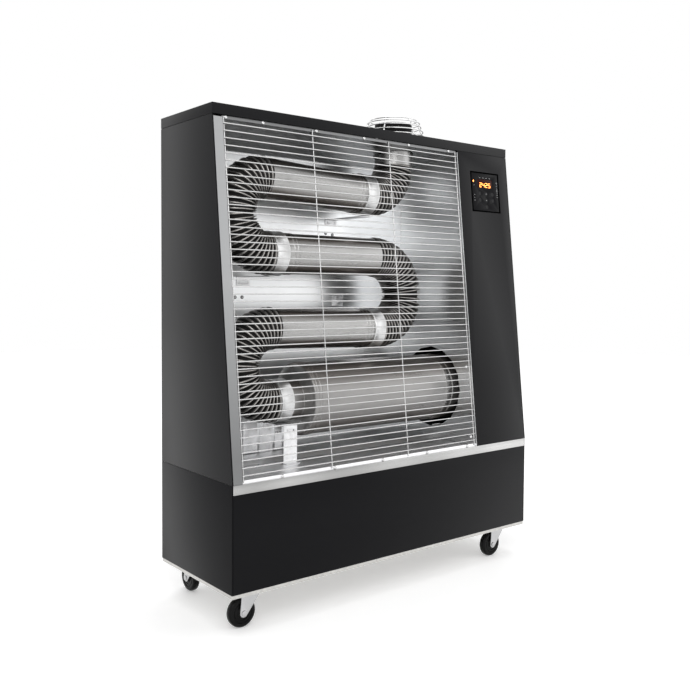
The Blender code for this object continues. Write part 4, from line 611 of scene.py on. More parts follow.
class Solid:
    """A mesh under construction, shaped by bmesh operators."""

    def __init__(self) -> None:
        """Start empty."""
        self.bm = bmesh.new()

    def _transform(self, verts: Sequence[bmesh.types.BMVert], matrix: Matrix) -> None:
        """Move a set of vertices by a matrix."""
        bmesh.ops.transform(self.bm, matrix=matrix, verts=verts)

    def block(self, size: Triple, place: Matrix, edge: float = 0.0, segments: int = 2) -> None:
        """Add a box with rounded edges.

        Args:
            size: its three lengths.
            place: frame of its centre.
            edge: rounding of its edges.
            segments: faces across a rounded edge.
        """
        made = bmesh.ops.create_cube(self.bm, size=1.0)["verts"]
        bmesh.ops.scale(self.bm, vec=size, verts=made)
        self._transform(made, place)
        if edge > 0:
            edges = list({e for v in made for e in v.link_edges})
            self.soften(edges, edge, segments)

    def soften(self, edges: Sequence[bmesh.types.BMEdge], width: float, segments: int = 2) -> None:
        """Bevel a set of edges.

        Args:
            edges: the edges.
            width: bevel width.
            segments: faces across the bevel.
        """
        bmesh.ops.bevel(
            self.bm,
            geom=edges,
            offset=width,
            offset_type="OFFSET",
            segments=segments,
            profile=0.5,
            affect="EDGES",
            clamp_overlap=True,
            material=-1,
        )

    def rod(self, start: Vector, end: Vector, diameter: float, sides: int, tip: float = 0.0) -> None:
        """Add a round bar.

        Args:
            start: centre of one end.
            end: centre of the other.
            diameter: its thickness.
            sides: faces round it.
            tip: rounding of its two ends.
        """
        span = end - start
        made = bmesh.ops.create_cone(
            self.bm,
            cap_ends=True,
            segments=sides,
            radius1=diameter / 2,
            radius2=diameter / 2,
            depth=span.length,
        )["verts"]
        self._transform(made, facing((start + end) / 2, span))
        if tip > 0:
            caps = [f for f in {f for v in made for f in v.link_faces} if len(f.verts) == sides]
            self.soften(list({e for f in caps for e in f.edges}), tip)

    def lathe(
        self, outline: Sequence[Pair], place: Matrix, steps: int, closed: bool = False
    ) -> list[bmesh.types.BMVert]:
        """Spin an outline round a frame's Z axis.

        Args:
            outline: (height, radius) pairs; the ends lie on the axis unless closed.
            place: the frame.
            steps: faces round the shape.
            closed: whether the last pair joins the first, as for a tube.

        Returns:
            The vertices made.
        """
        known = set(self.bm.verts)
        verts = [self.bm.verts.new((radius, 0, height)) for height, radius in outline]
        edges = [self.bm.edges.new(pair) for pair in zip(verts, verts[1:])]
        if closed:
            edges.append(self.bm.edges.new((verts[-1], verts[0])))
        bmesh.ops.spin(
            self.bm,
            geom=verts + edges,
            cent=(0, 0, 0),
            axis=(0, 0, 1),
            angle=2 * math.pi,
            steps=steps,
            use_merge=True,
        )
        made = [v for v in self.bm.verts if v not in known]
        bmesh.ops.remove_doubles(self.bm, verts=made, dist=1e-6)
        made = [v for v in self.bm.verts if v not in known]
        self._transform(made, place)
        return made

    def prism(self, outline: Sequence[Pair], depth: float, place: Matrix, edge: float = 0.0) -> None:
        """Extrude a flat outline along a frame's Z axis.

        Args:
            outline: points in the frame's XY plane.
            depth: length of the extrusion.
            place: the frame.
            edge: rounding of its edges.
        """
        verts = [self.bm.verts.new((u, v, 0)) for u, v in outline]
        face = self.bm.faces.new(verts)
        moved = bmesh.ops.extrude_face_region(self.bm, geom=[face], use_keep_orig=True)["geom"]
        tops = [g for g in moved if isinstance(g, bmesh.types.BMVert)]
        bmesh.ops.translate(self.bm, vec=(0, 0, depth), verts=tops)
        self._transform(verts + tops, place)
        if edge > 0:
            self.soften(list({e for v in verts + tops for e in v.link_edges}), edge)

    def wrap(self, verts: Sequence[bmesh.types.BMVert], path: Path, across: Vector) -> None:
        """Lay a straight shape, made along Z, along a path.

        Args:
            verts: the shape's vertices.
            path: where its axis goes.
            across: unit vector square to the path's plane.
        """
        for vert in verts:
            point, tangent = path.at(vert.co.z)
            vert.co = point + across * vert.co.x + tangent.cross(across) * vert.co.y

    def sweep(self, path: Path, diameter: float, sides: int, rings: int, across: Vector) -> None:
        """Run a round wire along a path.

        Args:
            path: its centre line.
            diameter: its thickness.
            sides: faces round it.
            rings: sections along it.
            across: unit vector square to the path's plane.
        """
        radius = diameter / 2
        outline = [(0.0, 0.0)]
        outline += [(path.length * i / rings, radius) for i in range(rings + 1)]
        outline += [(path.length, 0.0)]
        self.wrap(self.lathe(outline, Matrix.Identity(4), sides), path, across)

    def copy_node(self, node: str, width: float, segments: int = 2) -> None:
        """Take over a CAD node's form and round its sharp edges.

        Args:
            node: the node's name.
            width: bevel width.
            segments: faces across the bevel.
        """
        known = set(self.bm.verts)
        self.bm.from_mesh(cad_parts[node].data)
        made = [v for v in self.bm.verts if v not in known]
        bmesh.ops.remove_doubles(self.bm, verts=made, dist=2e-5)
        verts = [v for v in self.bm.verts if v not in known]
        edges = list({e for v in verts for e in v.link_edges})
        bmesh.ops.dissolve_limit(
            self.bm, angle_limit=math.radians(0.5), use_dissolve_boundaries=False, verts=verts, edges=edges
        )
        sharp = [e for e in self.bm.edges if e.calc_face_angle(0) > math.radians(30)]
        self.soften(sharp, width, segments)

    def finish(
        self,
        name: str,
        stock: Stock,
        body: str = "cabinet",
        replaces: Sequence[str] = (),
        smooth: float = 35.0,
    ) -> bpy.types.Object:
        """Turn the mesh into a dressed piece that rides on a body.

        Args:
            name: the piece's name.
            stock: its finish.
            body: the CAD body that carries it.
            replaces: CAD nodes that it stands for.
            smooth: edges under this many degrees shade smoothly.

        Returns:
            The piece.
        """
        bmesh.ops.recalc_face_normals(self.bm, faces=self.bm.faces)
        mesh = bpy.data.meshes.new(name)
        self.bm.to_mesh(mesh)
        self.bm.free()
        mesh.shade_smooth()
        mesh.set_sharp_from_angle(angle=math.radians(smooth))
        mesh.materials.append(stock.value.material())
        piece = bpy.data.objects.new(name, mesh)
        bpy.context.scene.collection.objects.link(piece)
        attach(piece, body)
        if replaces:
            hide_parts(*replaces)
        LOG.info("%s: %d faces on %s", name, len(mesh.polygons), body)
        return piece


def dress(nodes: Sequence[str], stock: Stock) -> None:
    """Give CAD nodes that stay a finish.

    Args:
        nodes: their names.
        stock: the finish.
    """
    for node in nodes:
        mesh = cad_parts[node].data
        mesh.materials.clear()
        mesh.materials.append(stock.value.material())
        LOG.info("%s: dressed in %s", node, stock.name.lower())


# Sub-assemblies


@dataclass
class CabinetShell:
    """Powder-coated panels, the trim strip and the pan."""

    fold: float = 0.0011
    thin: float = 0.0005

    def build(self) -> None:
        """Round the folds of every panel."""
        panels = (
            "base_front_panel",
            "base_shell",
            "side_panel_left",
            "side_panel_right",
            "rear_panel",
            "lid",
            "control_column",
        )
        for node in panels:
            solid = Solid()
            solid.copy_node(node, self.thin)
            # The base's panels get the darker copy of the powder coat: painted shade.
            coat = Stock.SHADED_BASE_COAT if node.startswith("base") else Stock.POWDER
            solid.finish(f"{node}_skin", coat, replaces=[node])
        strip = Solid()
        strip.copy_node("trim_strip", self.thin)
        strip.finish("trim_strip_skin", Stock.TRIM, replaces=["trim_strip"])
        dress(["base_pan", "base_deck"], Stock.GALVANISED)


@dataclass
class RadiantChamber:
    """Bright walls of the chamber and the screws along its front flange."""

    screw_d: float = 0.0085
    screw_h: float = 0.0026
    top_z: float = 1.1406
    bottom_z: float = 0.2661
    top_x: tuple[float, ...] = (0.0399, 0.1472, 0.3135, 0.4772, 0.6438, 0.8056)
    bottom_x: tuple[float, ...] = (0.1452, 0.3092, 0.4736, 0.6391, 0.8033)
    right_x: float = 0.8204
    right_z: tuple[float, ...] = (0.4971, 0.2915)
    back_y: float = 0.14965
    washer_d: float = 0.010
    washer_h: float = 0.0006
    rivets: tuple[Pair, ...] = (
        (0.532, 0.894),
        (0.558, 0.890),
        (0.214, 0.701),
        (0.237, 0.701),
        (0.532, 0.662),
        (0.559, 0.661),
    )

    def build(self) -> None:
        """Dress the walls and set the screws."""
        dress(["reflector_right", "reflector_back"], Stock.REFLECTOR)
        dress(["reflector_floor"], Stock.FLOOR_SHEET)
        # The ceiling gets the darker copy of the rolled sheet: painted shade.
        dress(["reflector_top"], Stock.SHADED_CEILING)
        dress(["reflector_left"], Stock.FLANGE)
        spots = [(x, self.top_z) for x in self.top_x]
        spots += [(x, self.bottom_z) for x in self.bottom_x]
        spots += [(self.right_x, z) for z in self.right_z]
        solid = Solid()
        for x, z in spots:
            place = LAYOUT.front_frame(LAYOUT.on_front(x, z, 0.0045))
            r = self.screw_d / 2
            h = self.screw_h
            dome = [(0, 0), (0, r), (h * 0.45, r), (h * 0.8, r * 0.8), (h, r * 0.45), (h, 0)]
            solid.lathe(dome, place, 20)
        solid.finish("grille_screws", Stock.ZINC)
        self.rivet_back()

    def rivet_back(self) -> None:
        """Rivets of the tube brackets: a bright head on a dark washer."""
        washers = Solid()
        heads = Solid()
        for x, z in self.rivets:
            place = facing(Vector((LAYOUT.x(x), self.back_y, LAYOUT.z(z))), Vector((0, -1, 0)))
            r = self.washer_d / 2
            h = self.washer_h
            washers.lathe([(0, 0), (0, r), (h, r), (h, 0)], place, 24)
            r = self.screw_d / 3
            top = self.screw_h * 0.6 + h
            heads.lathe([(h, 0), (h, r), (top * 0.8, r * 0.9), (top, r * 0.5), (top, 0)], place, 20)
        washers.finish("rivet_washers", Stock.MOULDED)
        heads.finish("rivet_heads", Stock.ZINC)


@dataclass
class WireGrille:
    """Welded guard: level wires in front of four upright ones."""

    wire: float = 0.003
    bars: int = 48
    top_z: float = 1.1253
    bottom_z: float = 0.2818
    post_top_z: float = 1.1411
    post_bottom_z: float = 0.2655
    left_x: float = 0.0289
    right_x: float = 0.8346
    first_post: float = 0.0329
    last_post: float = 0.8316
    posts: int = 4
    post_depth: float = 0.0032
    weld: float = 0.0004

    def build(self) -> None:
        """Lay the bars and the posts."""
        solid = Solid()
        bar_depth = self.post_depth - self.wire + self.weld
        for i in range(self.bars):
            z = self.bottom_z + (self.top_z - self.bottom_z) * i / (self.bars - 1)
            start = LAYOUT.on_front(self.left_x, z, bar_depth)
            end = LAYOUT.on_front(self.right_x, z, bar_depth)
            solid.rod(start, end, self.wire, 12, self.wire * 0.3)
        for i in range(self.posts):
            x = self.first_post + (self.last_post - self.first_post) * i / (self.posts - 1)
            foot = LAYOUT.on_front(x, self.post_bottom_z, self.post_depth)
            head = LAYOUT.on_front(x, self.post_top_z, self.post_depth)
            solid.rod(foot, head, self.wire, 12, self.wire * 0.3)
        solid.finish("grille_wires", Stock.WIRE, replaces=["grille"])


@dataclass
class TubeRun:
    """Radiant tubes, their collars and the pleated bends between them."""

    radius: float = 0.055
    wall: float = 0.001
    bead_h: float = 0.0016
    bead_w: float = 0.006
    bead_pitch: float = 0.0118
    collar_w: float = 0.040
    collar_r: float = 0.060
    slip: float = 0.018
    gap: float = 0.0003
    pleat_pitch: float = 0.0115
    crest: float = 0.058
    valley: float = 0.0495
    bore: float = 0.0465
    steps: int = 72

    def bead(self, middle: float) -> list[Pair]:
        """Outline of one raised bead round a tube."""
        shares = ((-0.5, 0.0), (-0.32, 0.55), (-0.12, 0.95), (0.12, 0.95), (0.32, 0.55), (0.5, 0.0))
        return [(middle + s * self.bead_w, self.radius + h * self.bead_h) for s, h in shares]

    def tube(self, name: str, start: Vector, end: Vector, inset: float) -> None:
        """Make one straight tube.

        Args:
            name: the CAD node that it stands for.
            start: axis point at its collar end.
            end: the other axis point.
            inset: distance of its first bead from start.
        """
        length = (end - start).length
        r = self.radius
        outline = [(0, r)] + self.bead(inset) + self.bead(inset + self.bead_pitch)
        outline += [(length, r), (length, r - self.wall), (0, r - self.wall)]
        solid = Solid()
        solid.lathe(outline, facing(start, end - start), self.steps, closed=True)
        solid.finish(f"{name}_skin", Stock.TUBE, replaces=[name])

    def collar(self, name: str, centre: Vector, way: Vector) -> None:
        """Make one clamping sleeve.

        Args:
            name: the CAD node that it stands for.
            centre: its middle.
            way: direction of its axis.
        """
        half = self.collar_w / 2
        inner = self.radius + self.gap
        outer = self.collar_r
        outline = [
            (-half, inner),
            (-half, outer - 0.0012),
            (-half + 0.0012, outer),
            (-half + 0.004, outer),
            (-half + 0.0055, outer - 0.0008),
            (half - 0.0055, outer - 0.0008),
            (half - 0.004, outer),
            (half - 0.0012, outer),
            (half, outer - 0.0012),
            (half, inner),
        ]
        solid = Solid()
        solid.lathe(outline, facing(centre, way), self.steps, closed=True)
        solid.finish(f"{name}_skin", Stock.COLLAR, replaces=[name])

    def bend(self, name: str, path: Path, first: Pair, last: Pair) -> None:
        """Make one pleated bend.

        Args:
            name: the CAD node that it stands for.
            path: its centre line between the mouths.
            first: (length, radius) of the plain end before the path.
            last: the same after it.
        """
        count = round(path.length / self.pleat_pitch)
        pitch = path.length / count
        shape = (
            (0.00, 0.0, 1.0),
            (0.34, 0.0, 1.0),
            (0.44, 0.35, 1.0),
            (0.49, 0.85, 0.45),
            (0.55, 1.0, 0.0),
            (0.64, 1.04, 0.0),
            (0.73, 1.0, 0.0),
            (0.79, 0.85, 0.45),
            (0.84, 0.35, 1.0),
        )
        outline = [(-first[0], first[1])]
        folds = [0.0]
        for i in range(count):
            for along, height, fold in shape:
                if i == 0 and along < 0.3:
                    continue
                radius = self.valley + (self.crest - self.valley) * height
                outline.append(((i + along) * pitch, radius))
                folds.append(fold)
        outline += [(path.length, last[1]), (path.length + last[0], last[1])]
        folds += [0.0, 0.0]
        outer_count = len(outline)
        inner_steps = 30
        outline.append((path.length + last[0], self.bore))
        for i in range(inner_steps, -1, -1):
            outline.append((path.length * i / inner_steps, self.bore))
        outline.append((-first[0], self.bore))
        solid = Solid()
        layer = solid.bm.verts.layers.float.new("pleat")
        made = solid.lathe(outline, Matrix.Identity(4), self.steps, closed=True)
        marks = {}
        for (height, radius), fold in zip(outline[:outer_count], folds):
            marks[(round(height * 1e6), round(radius * 1e6))] = fold
        for vert in made:
            radius = math.hypot(vert.co.x, vert.co.y)
            key = (round(vert.co.z * 1e6), round(radius * 1e6))
            near = [marks.get((key[0] + a, key[1] + b)) for a in (0, -1, 1) for b in (0, -1, 1)]
            found = [n for n in near if n is not None]
            vert[layer] = found[0] if found else 1.0
        solid.wrap(made, path, Vector((0, 1, 0)))
        solid.finish(f"{name}_skin", Stock.PLEATS, replaces=[name], smooth=60.0)

    def build(self) -> None:
        """Lay out the whole run from the flue down to the cylinder's neck."""
        upper_way = Vector((1, 0, -0.0571)).normalized()
        lower_way = Vector((1, 0, -0.0218)).normalized()
        level = Vector((1, 0, 0))
        upper_left = LAYOUT.on_run(0.2115, 1.0178)
        upper_right = LAYOUT.on_run(0.5501, 1.0178 - 0.0571 * (0.5501 - 0.2115))
        middle_left = LAYOUT.on_run(0.2397, 0.8199)
        middle_right = LAYOUT.on_run(0.5858, 0.8199)
        lower_left = LAYOUT.on_run(0.2396, 0.6191)
        lower_right = LAYOUT.on_run(0.5786, 0.6191 - 0.0218 * (0.5786 - 0.2396))
        neck_left = LAYOUT.on_run(0.2555, 0.4229)
        flue_mouth = LAYOUT.on_run(0.671, 1.092)
        self.tube("upper_tube", upper_right - upper_way * self.gap, upper_left, 0.0281)
        self.tube("middle_tube", middle_left + level * self.gap, middle_right, 0.0393)
        self.tube("lower_tube", lower_right - lower_way * self.gap, lower_left, 0.033)
        self.collar("upper_collar", upper_right, upper_way)
        self.collar("middle_collar", middle_left, level)
        self.collar("lower_collar", lower_right, lower_way)
        self.collar("cylinder_collar", neck_left, level)
        half = self.collar_w / 2
        slip_end = (self.slip, self.radius - self.wall - self.gap)
        collar_end = (half - self.gap, self.radius)
        apex_share = 0.75
        ends = (upper_left, middle_left - level * half)
        handle = ((ends[0].x + ends[1].x) / 2 - LAYOUT.x(0.122)) / apex_share
        self.bend("upper_left_bend", Path.curved(ends, (-upper_way, level), handle), slip_end, collar_end)
        ends = (middle_right, lower_right + lower_way * half)
        handle = (LAYOUT.x(0.707) - (ends[0].x + ends[1].x) / 2) / apex_share
        self.bend("right_bend", Path.curved(ends, (level, -lower_way), handle), slip_end, collar_end)
        ends = (lower_left, neck_left - level * half)
        handle = ((ends[0].x + ends[1].x) / 2 - LAYOUT.x(0.1325)) / apex_share
        self.bend("lower_left_bend", Path.curved(ends, (-lower_way, level), handle), slip_end, collar_end)
        ends = (upper_right + upper_way * half, flue_mouth)
        handle = (ends[1].x - ends[0].x) * 0.5523
        self.bend("flue_elbow", Path.curved(ends, (upper_way, Vector((0, 0, 1))), handle), collar_end, slip_end)


@dataclass
class CombustionCylinder:
    """Large cylinder under the tubes, on its stand."""

    radius: float = 0.100
    wall: float = 0.0015
    left_x: float = 0.310
    right_x: float = 0.890
    neck_x: float = 0.2558
    axis_z: float = 0.4229
    shoulder: float = 0.0108
    crown: float = 0.030
    floor_z: float = 0.3762
    plate_y: float = 0.0615
    plate_t: float = 0.0015
    foot: float = 0.014
    plates: tuple[Triple, ...] = ((-0.343, -0.298, 0.4605), (-0.241, -0.2165, 0.4515))

    def build(self) -> None:
        """Spin the shell and dress what holds it."""
        run = TubeRun()
        neck = self.left_x - self.neck_x
        length = self.right_x - self.neck_x
        small = run.radius
        large = self.radius
        rise = large - small
        outline = [(0.0, small), (neck - 0.001, small), (neck, small + 0.001)]
        outline += [(neck, large - self.crown)]
        steps = 9
        for i in range(1, steps + 1):
            angle = math.pi / 2 * i / steps
            along = neck + self.shoulder * (1 - math.cos(angle))
            outline.append((along, large - self.crown * (1 - math.sin(angle))))
        far = length - 0.0563
        middles = (neck + 0.0172, neck + 0.0172 + run.bead_pitch, far - 0.0238, far)
        for middle in middles:
            outline += [(along, radius + rise) for along, radius in run.bead(middle)]
        outline += [(length, large), (length, 0.0353), (length - self.wall, 0.0353)]
        outline += [(length - self.wall, large - self.wall), (neck + self.shoulder, large - self.wall)]
        outline += [(neck + self.wall, large - self.crown - self.wall)]
        outline += [(neck + self.wall, small - run.wall), (0.0, small - run.wall)]
        solid = Solid()
        start = LAYOUT.on_run(self.neck_x, self.axis_z)
        solid.lathe(outline, facing(start, Vector((1, 0, 0))), 112, closed=True)
        solid.finish("combustion_cylinder_skin", Stock.CYLINDER, replaces=["combustion_cylinder"])
        for node in ("cylinder_stand", "upper_bracket", "middle_bracket", "lower_bracket"):
            plate = Solid()
            plate.copy_node(node, 0.0003)
            plate.finish(f"{node}_skin", Stock.STAND, replaces=[node])
        self.stand_plates()

    def stand_plates(self) -> None:
        """Two footed plates beside the stand's rear leg, the right one with four slanted slots drawn as near-black
        blocks of painted shade.
        """
        plates = Solid()
        slots = Solid()
        for x0, x1, top_z in self.plates:
            middle = (x0 + x1) / 2
            width = x1 - x0
            height = top_z - self.floor_z
            upright = Matrix.Translation((middle, self.plate_y, self.floor_z + height / 2))
            plates.block((width, self.plate_t, height), upright, 0.0003)
            foot_y = self.plate_y + (self.foot - self.plate_t) / 2
            foot = Matrix.Translation((middle, foot_y, self.floor_z + self.plate_t / 2))
            plates.block((width, self.foot, self.plate_t), foot, 0.0003)
        # The slots are thin near-black blocks on the plate's face: painted shade.
        for i in range(4):
            x = middle + (i - 1.5) * width / 4.4
            face = Vector((x, self.plate_y - self.plate_t / 2, top_z - 0.026))
            slant = Matrix.Rotation(math.radians(20), 4, "Y")
            slots.block((0.0022, 0.0003, 0.0080), Matrix.Translation(face) @ slant)
        plates.finish("stand_plates", Stock.STAND)
        slots.finish("stand_plate_slot_shade", Stock.PAINTED_SHADE_BLACK)


@dataclass
class Flue:
    """Outlet stub and the wire basket round it."""

    x: float = 0.671
    bottom_z: float = 1.092
    rise: float = 0.042
    radius: float = 0.055
    wall: float = 0.001
    wire: float = 0.0035
    foot_d: float = 0.188
    tip_d: float = 0.126
    tip_rise: float = 0.062
    posts: int = 6
    rings: tuple[Pair, ...] = (
        (0.184, 0.006),
        (0.176, 0.020),
        (0.164, 0.0336),
        (0.156, 0.045),
        (0.138, 0.0534),
    )

    def build(self) -> None:
        """Make the stub, then the basket."""
        run = TubeRun()
        low = LAYOUT.z(self.bottom_z)
        length = LAYOUT.top_z + self.rise - low
        r = self.radius
        rim = 0.0012
        inner = r - self.wall
        split = length - self.rise
        start = Vector((LAYOUT.x(self.x), LAYOUT.pipe_y, low))
        lower = Solid()
        lower.lathe([(0.0, r), (split, r), (split, inner), (0.0, inner)], Matrix.Translation(start), 72, closed=True)
        lower.finish("flue_stub_skin", Stock.TUBE, replaces=["flue_stub"])
        # Above the lid the stub is plain black.
        outline = [(split, r)] + run.bead(length - 0.012)
        outline += [(length - rim, r), (length, r - rim * 0.3), (length, inner), (split, inner)]
        upper = Solid()
        upper.lathe(outline, Matrix.Translation(start), 72, closed=True)
        upper.finish("flue_outlet_skin", Stock.BLACK_OUTLET, replaces=["flue_stub"])
        self.basket()

    def basket(self) -> None:
        """Rings and bent uprights."""
        centre = Vector((LAYOUT.x(self.x), LAYOUT.pipe_y, LAYOUT.top_z))
        half = self.wire / 2
        solid = Solid()
        sides = 10
        for diameter, rise in self.rings:
            outline = []
            for i in range(sides):
                angle = 2 * math.pi * i / sides
                outline.append((rise + half * math.sin(angle), diameter / 2 + half * math.cos(angle)))
            solid.lathe(outline, Matrix.Translation(centre), 56, closed=True)
        stations = [(self.foot_d / 2, half + self.wire * 0.1)]
        stations += [(diameter / 2 - self.wire + 0.0004, rise) for diameter, rise in self.rings]
        stations += [(self.tip_d / 2 - half, self.tip_rise - half)]
        for i in range(self.posts):
            angle = 2 * math.pi * (i + 0.5) / self.posts
            out = Vector((math.cos(angle), math.sin(angle), 0))
            around = Vector((-math.sin(angle), math.cos(angle), 0))
            points = [centre + out * radius + Vector((0, 0, rise)) for radius, rise in stations]
            solid.sweep(Path(points), self.wire, 8, 18, around)
        solid.finish("flue_guard_wires", Stock.GUARD, replaces=["flue_guard"])


@dataclass
class BurnerBay:
    """Burner, blower, pump and electrics behind the control column, and the tank with its cap."""

    neck_x: float = 0.820
    neck_drop: float = 0.062
    neck_out: float = 0.004
    neck_tilt: float = 30.0
    cap_d: float = 0.062
    cap_h: float = 0.018
    cap_wall: float = 0.0025
    socket_r: float = 0.0263
    lug_h: float = 0.003
    lug_w: float = 0.010
    baffle_y: float = 0.157
    baffle_x: Pair = (0.358, 0.482)
    baffle_z: Pair = (0.476, 0.642)

    def build(self) -> None:
        """Dress the pieces of the bay."""
        dress(["burner_housing", "blower_impeller", "fuel_pump"], Stock.CAST)
        dress(["burner_motor", "ignition_transformer", "control_board"], Stock.MOTOR)
        dress(["fuel_tank"], Stock.MOULDED)
        gland = Solid()
        gland.copy_node("mains_gland", 0.0006)
        gland.finish("mains_gland_skin", Stock.MOULDED, replaces=["mains_gland"])
        dress(["fuel_hose"], Stock.HOSE)
        self.fold_baffle()
        self.spin_cap()

    def fold_baffle(self) -> None:
        """Folded plate a little way inside the rear vents, so that nothing shows straight through."""
        low, high = self.baffle_z
        left, right = self.baffle_x
        middle = Vector(((left + right) / 2, self.baffle_y, (low + high) / 2))
        reach = LAYOUT.back - 0.0016 - self.baffle_y
        baffle = Solid()
        baffle.block((right - left, 0.001, high - low), Matrix.Translation(middle))
        for x in (left, right):
            flank = Vector((x, self.baffle_y + reach / 2, middle.z))
            baffle.block((0.001, reach, high - low), Matrix.Translation(flank))
        baffle.finish("vent_baffle", Stock.POWDER)

    def spin_cap(self) -> None:
        """Round screw cap with its four grip lugs."""
        tilt = math.radians(self.neck_tilt)
        axis = Vector((0, math.cos(tilt), math.sin(tilt)))
        mouth = Vector((LAYOUT.x(self.neck_x), LAYOUT.back, LAYOUT.seam_z - self.neck_drop))
        place = facing(mouth + axis * self.neck_out, axis)
        r = self.cap_d / 2
        foot = 0.0003 + self.cap_wall - self.cap_h
        crown = 0.0003 + self.cap_wall
        soft = 0.0012
        outline = [(foot, r), (crown - soft, r), (crown - soft * 0.3, r - soft * 0.3), (crown, r - soft)]
        outline += [(crown, 0), (crown - self.cap_wall, 0), (crown - self.cap_wall, self.socket_r)]
        outline += [(foot, self.socket_r)]
        cap = Solid()
        cap.lathe(outline, place, 64, closed=True)
        for i in range(4):
            turn = Matrix.Rotation(math.pi / 2 * i, 4, "Z")
            low = foot + self.cap_wall
            lug = Matrix.Translation((r, 0, (low + crown) / 2))
            cap.block((self.lug_h * 2, self.lug_w, crown - low), place @ turn @ lug, 0.0008)
        cap.finish("filler_cap_skin", Stock.MOULDED, body="cap", replaces=["filler_cap"])


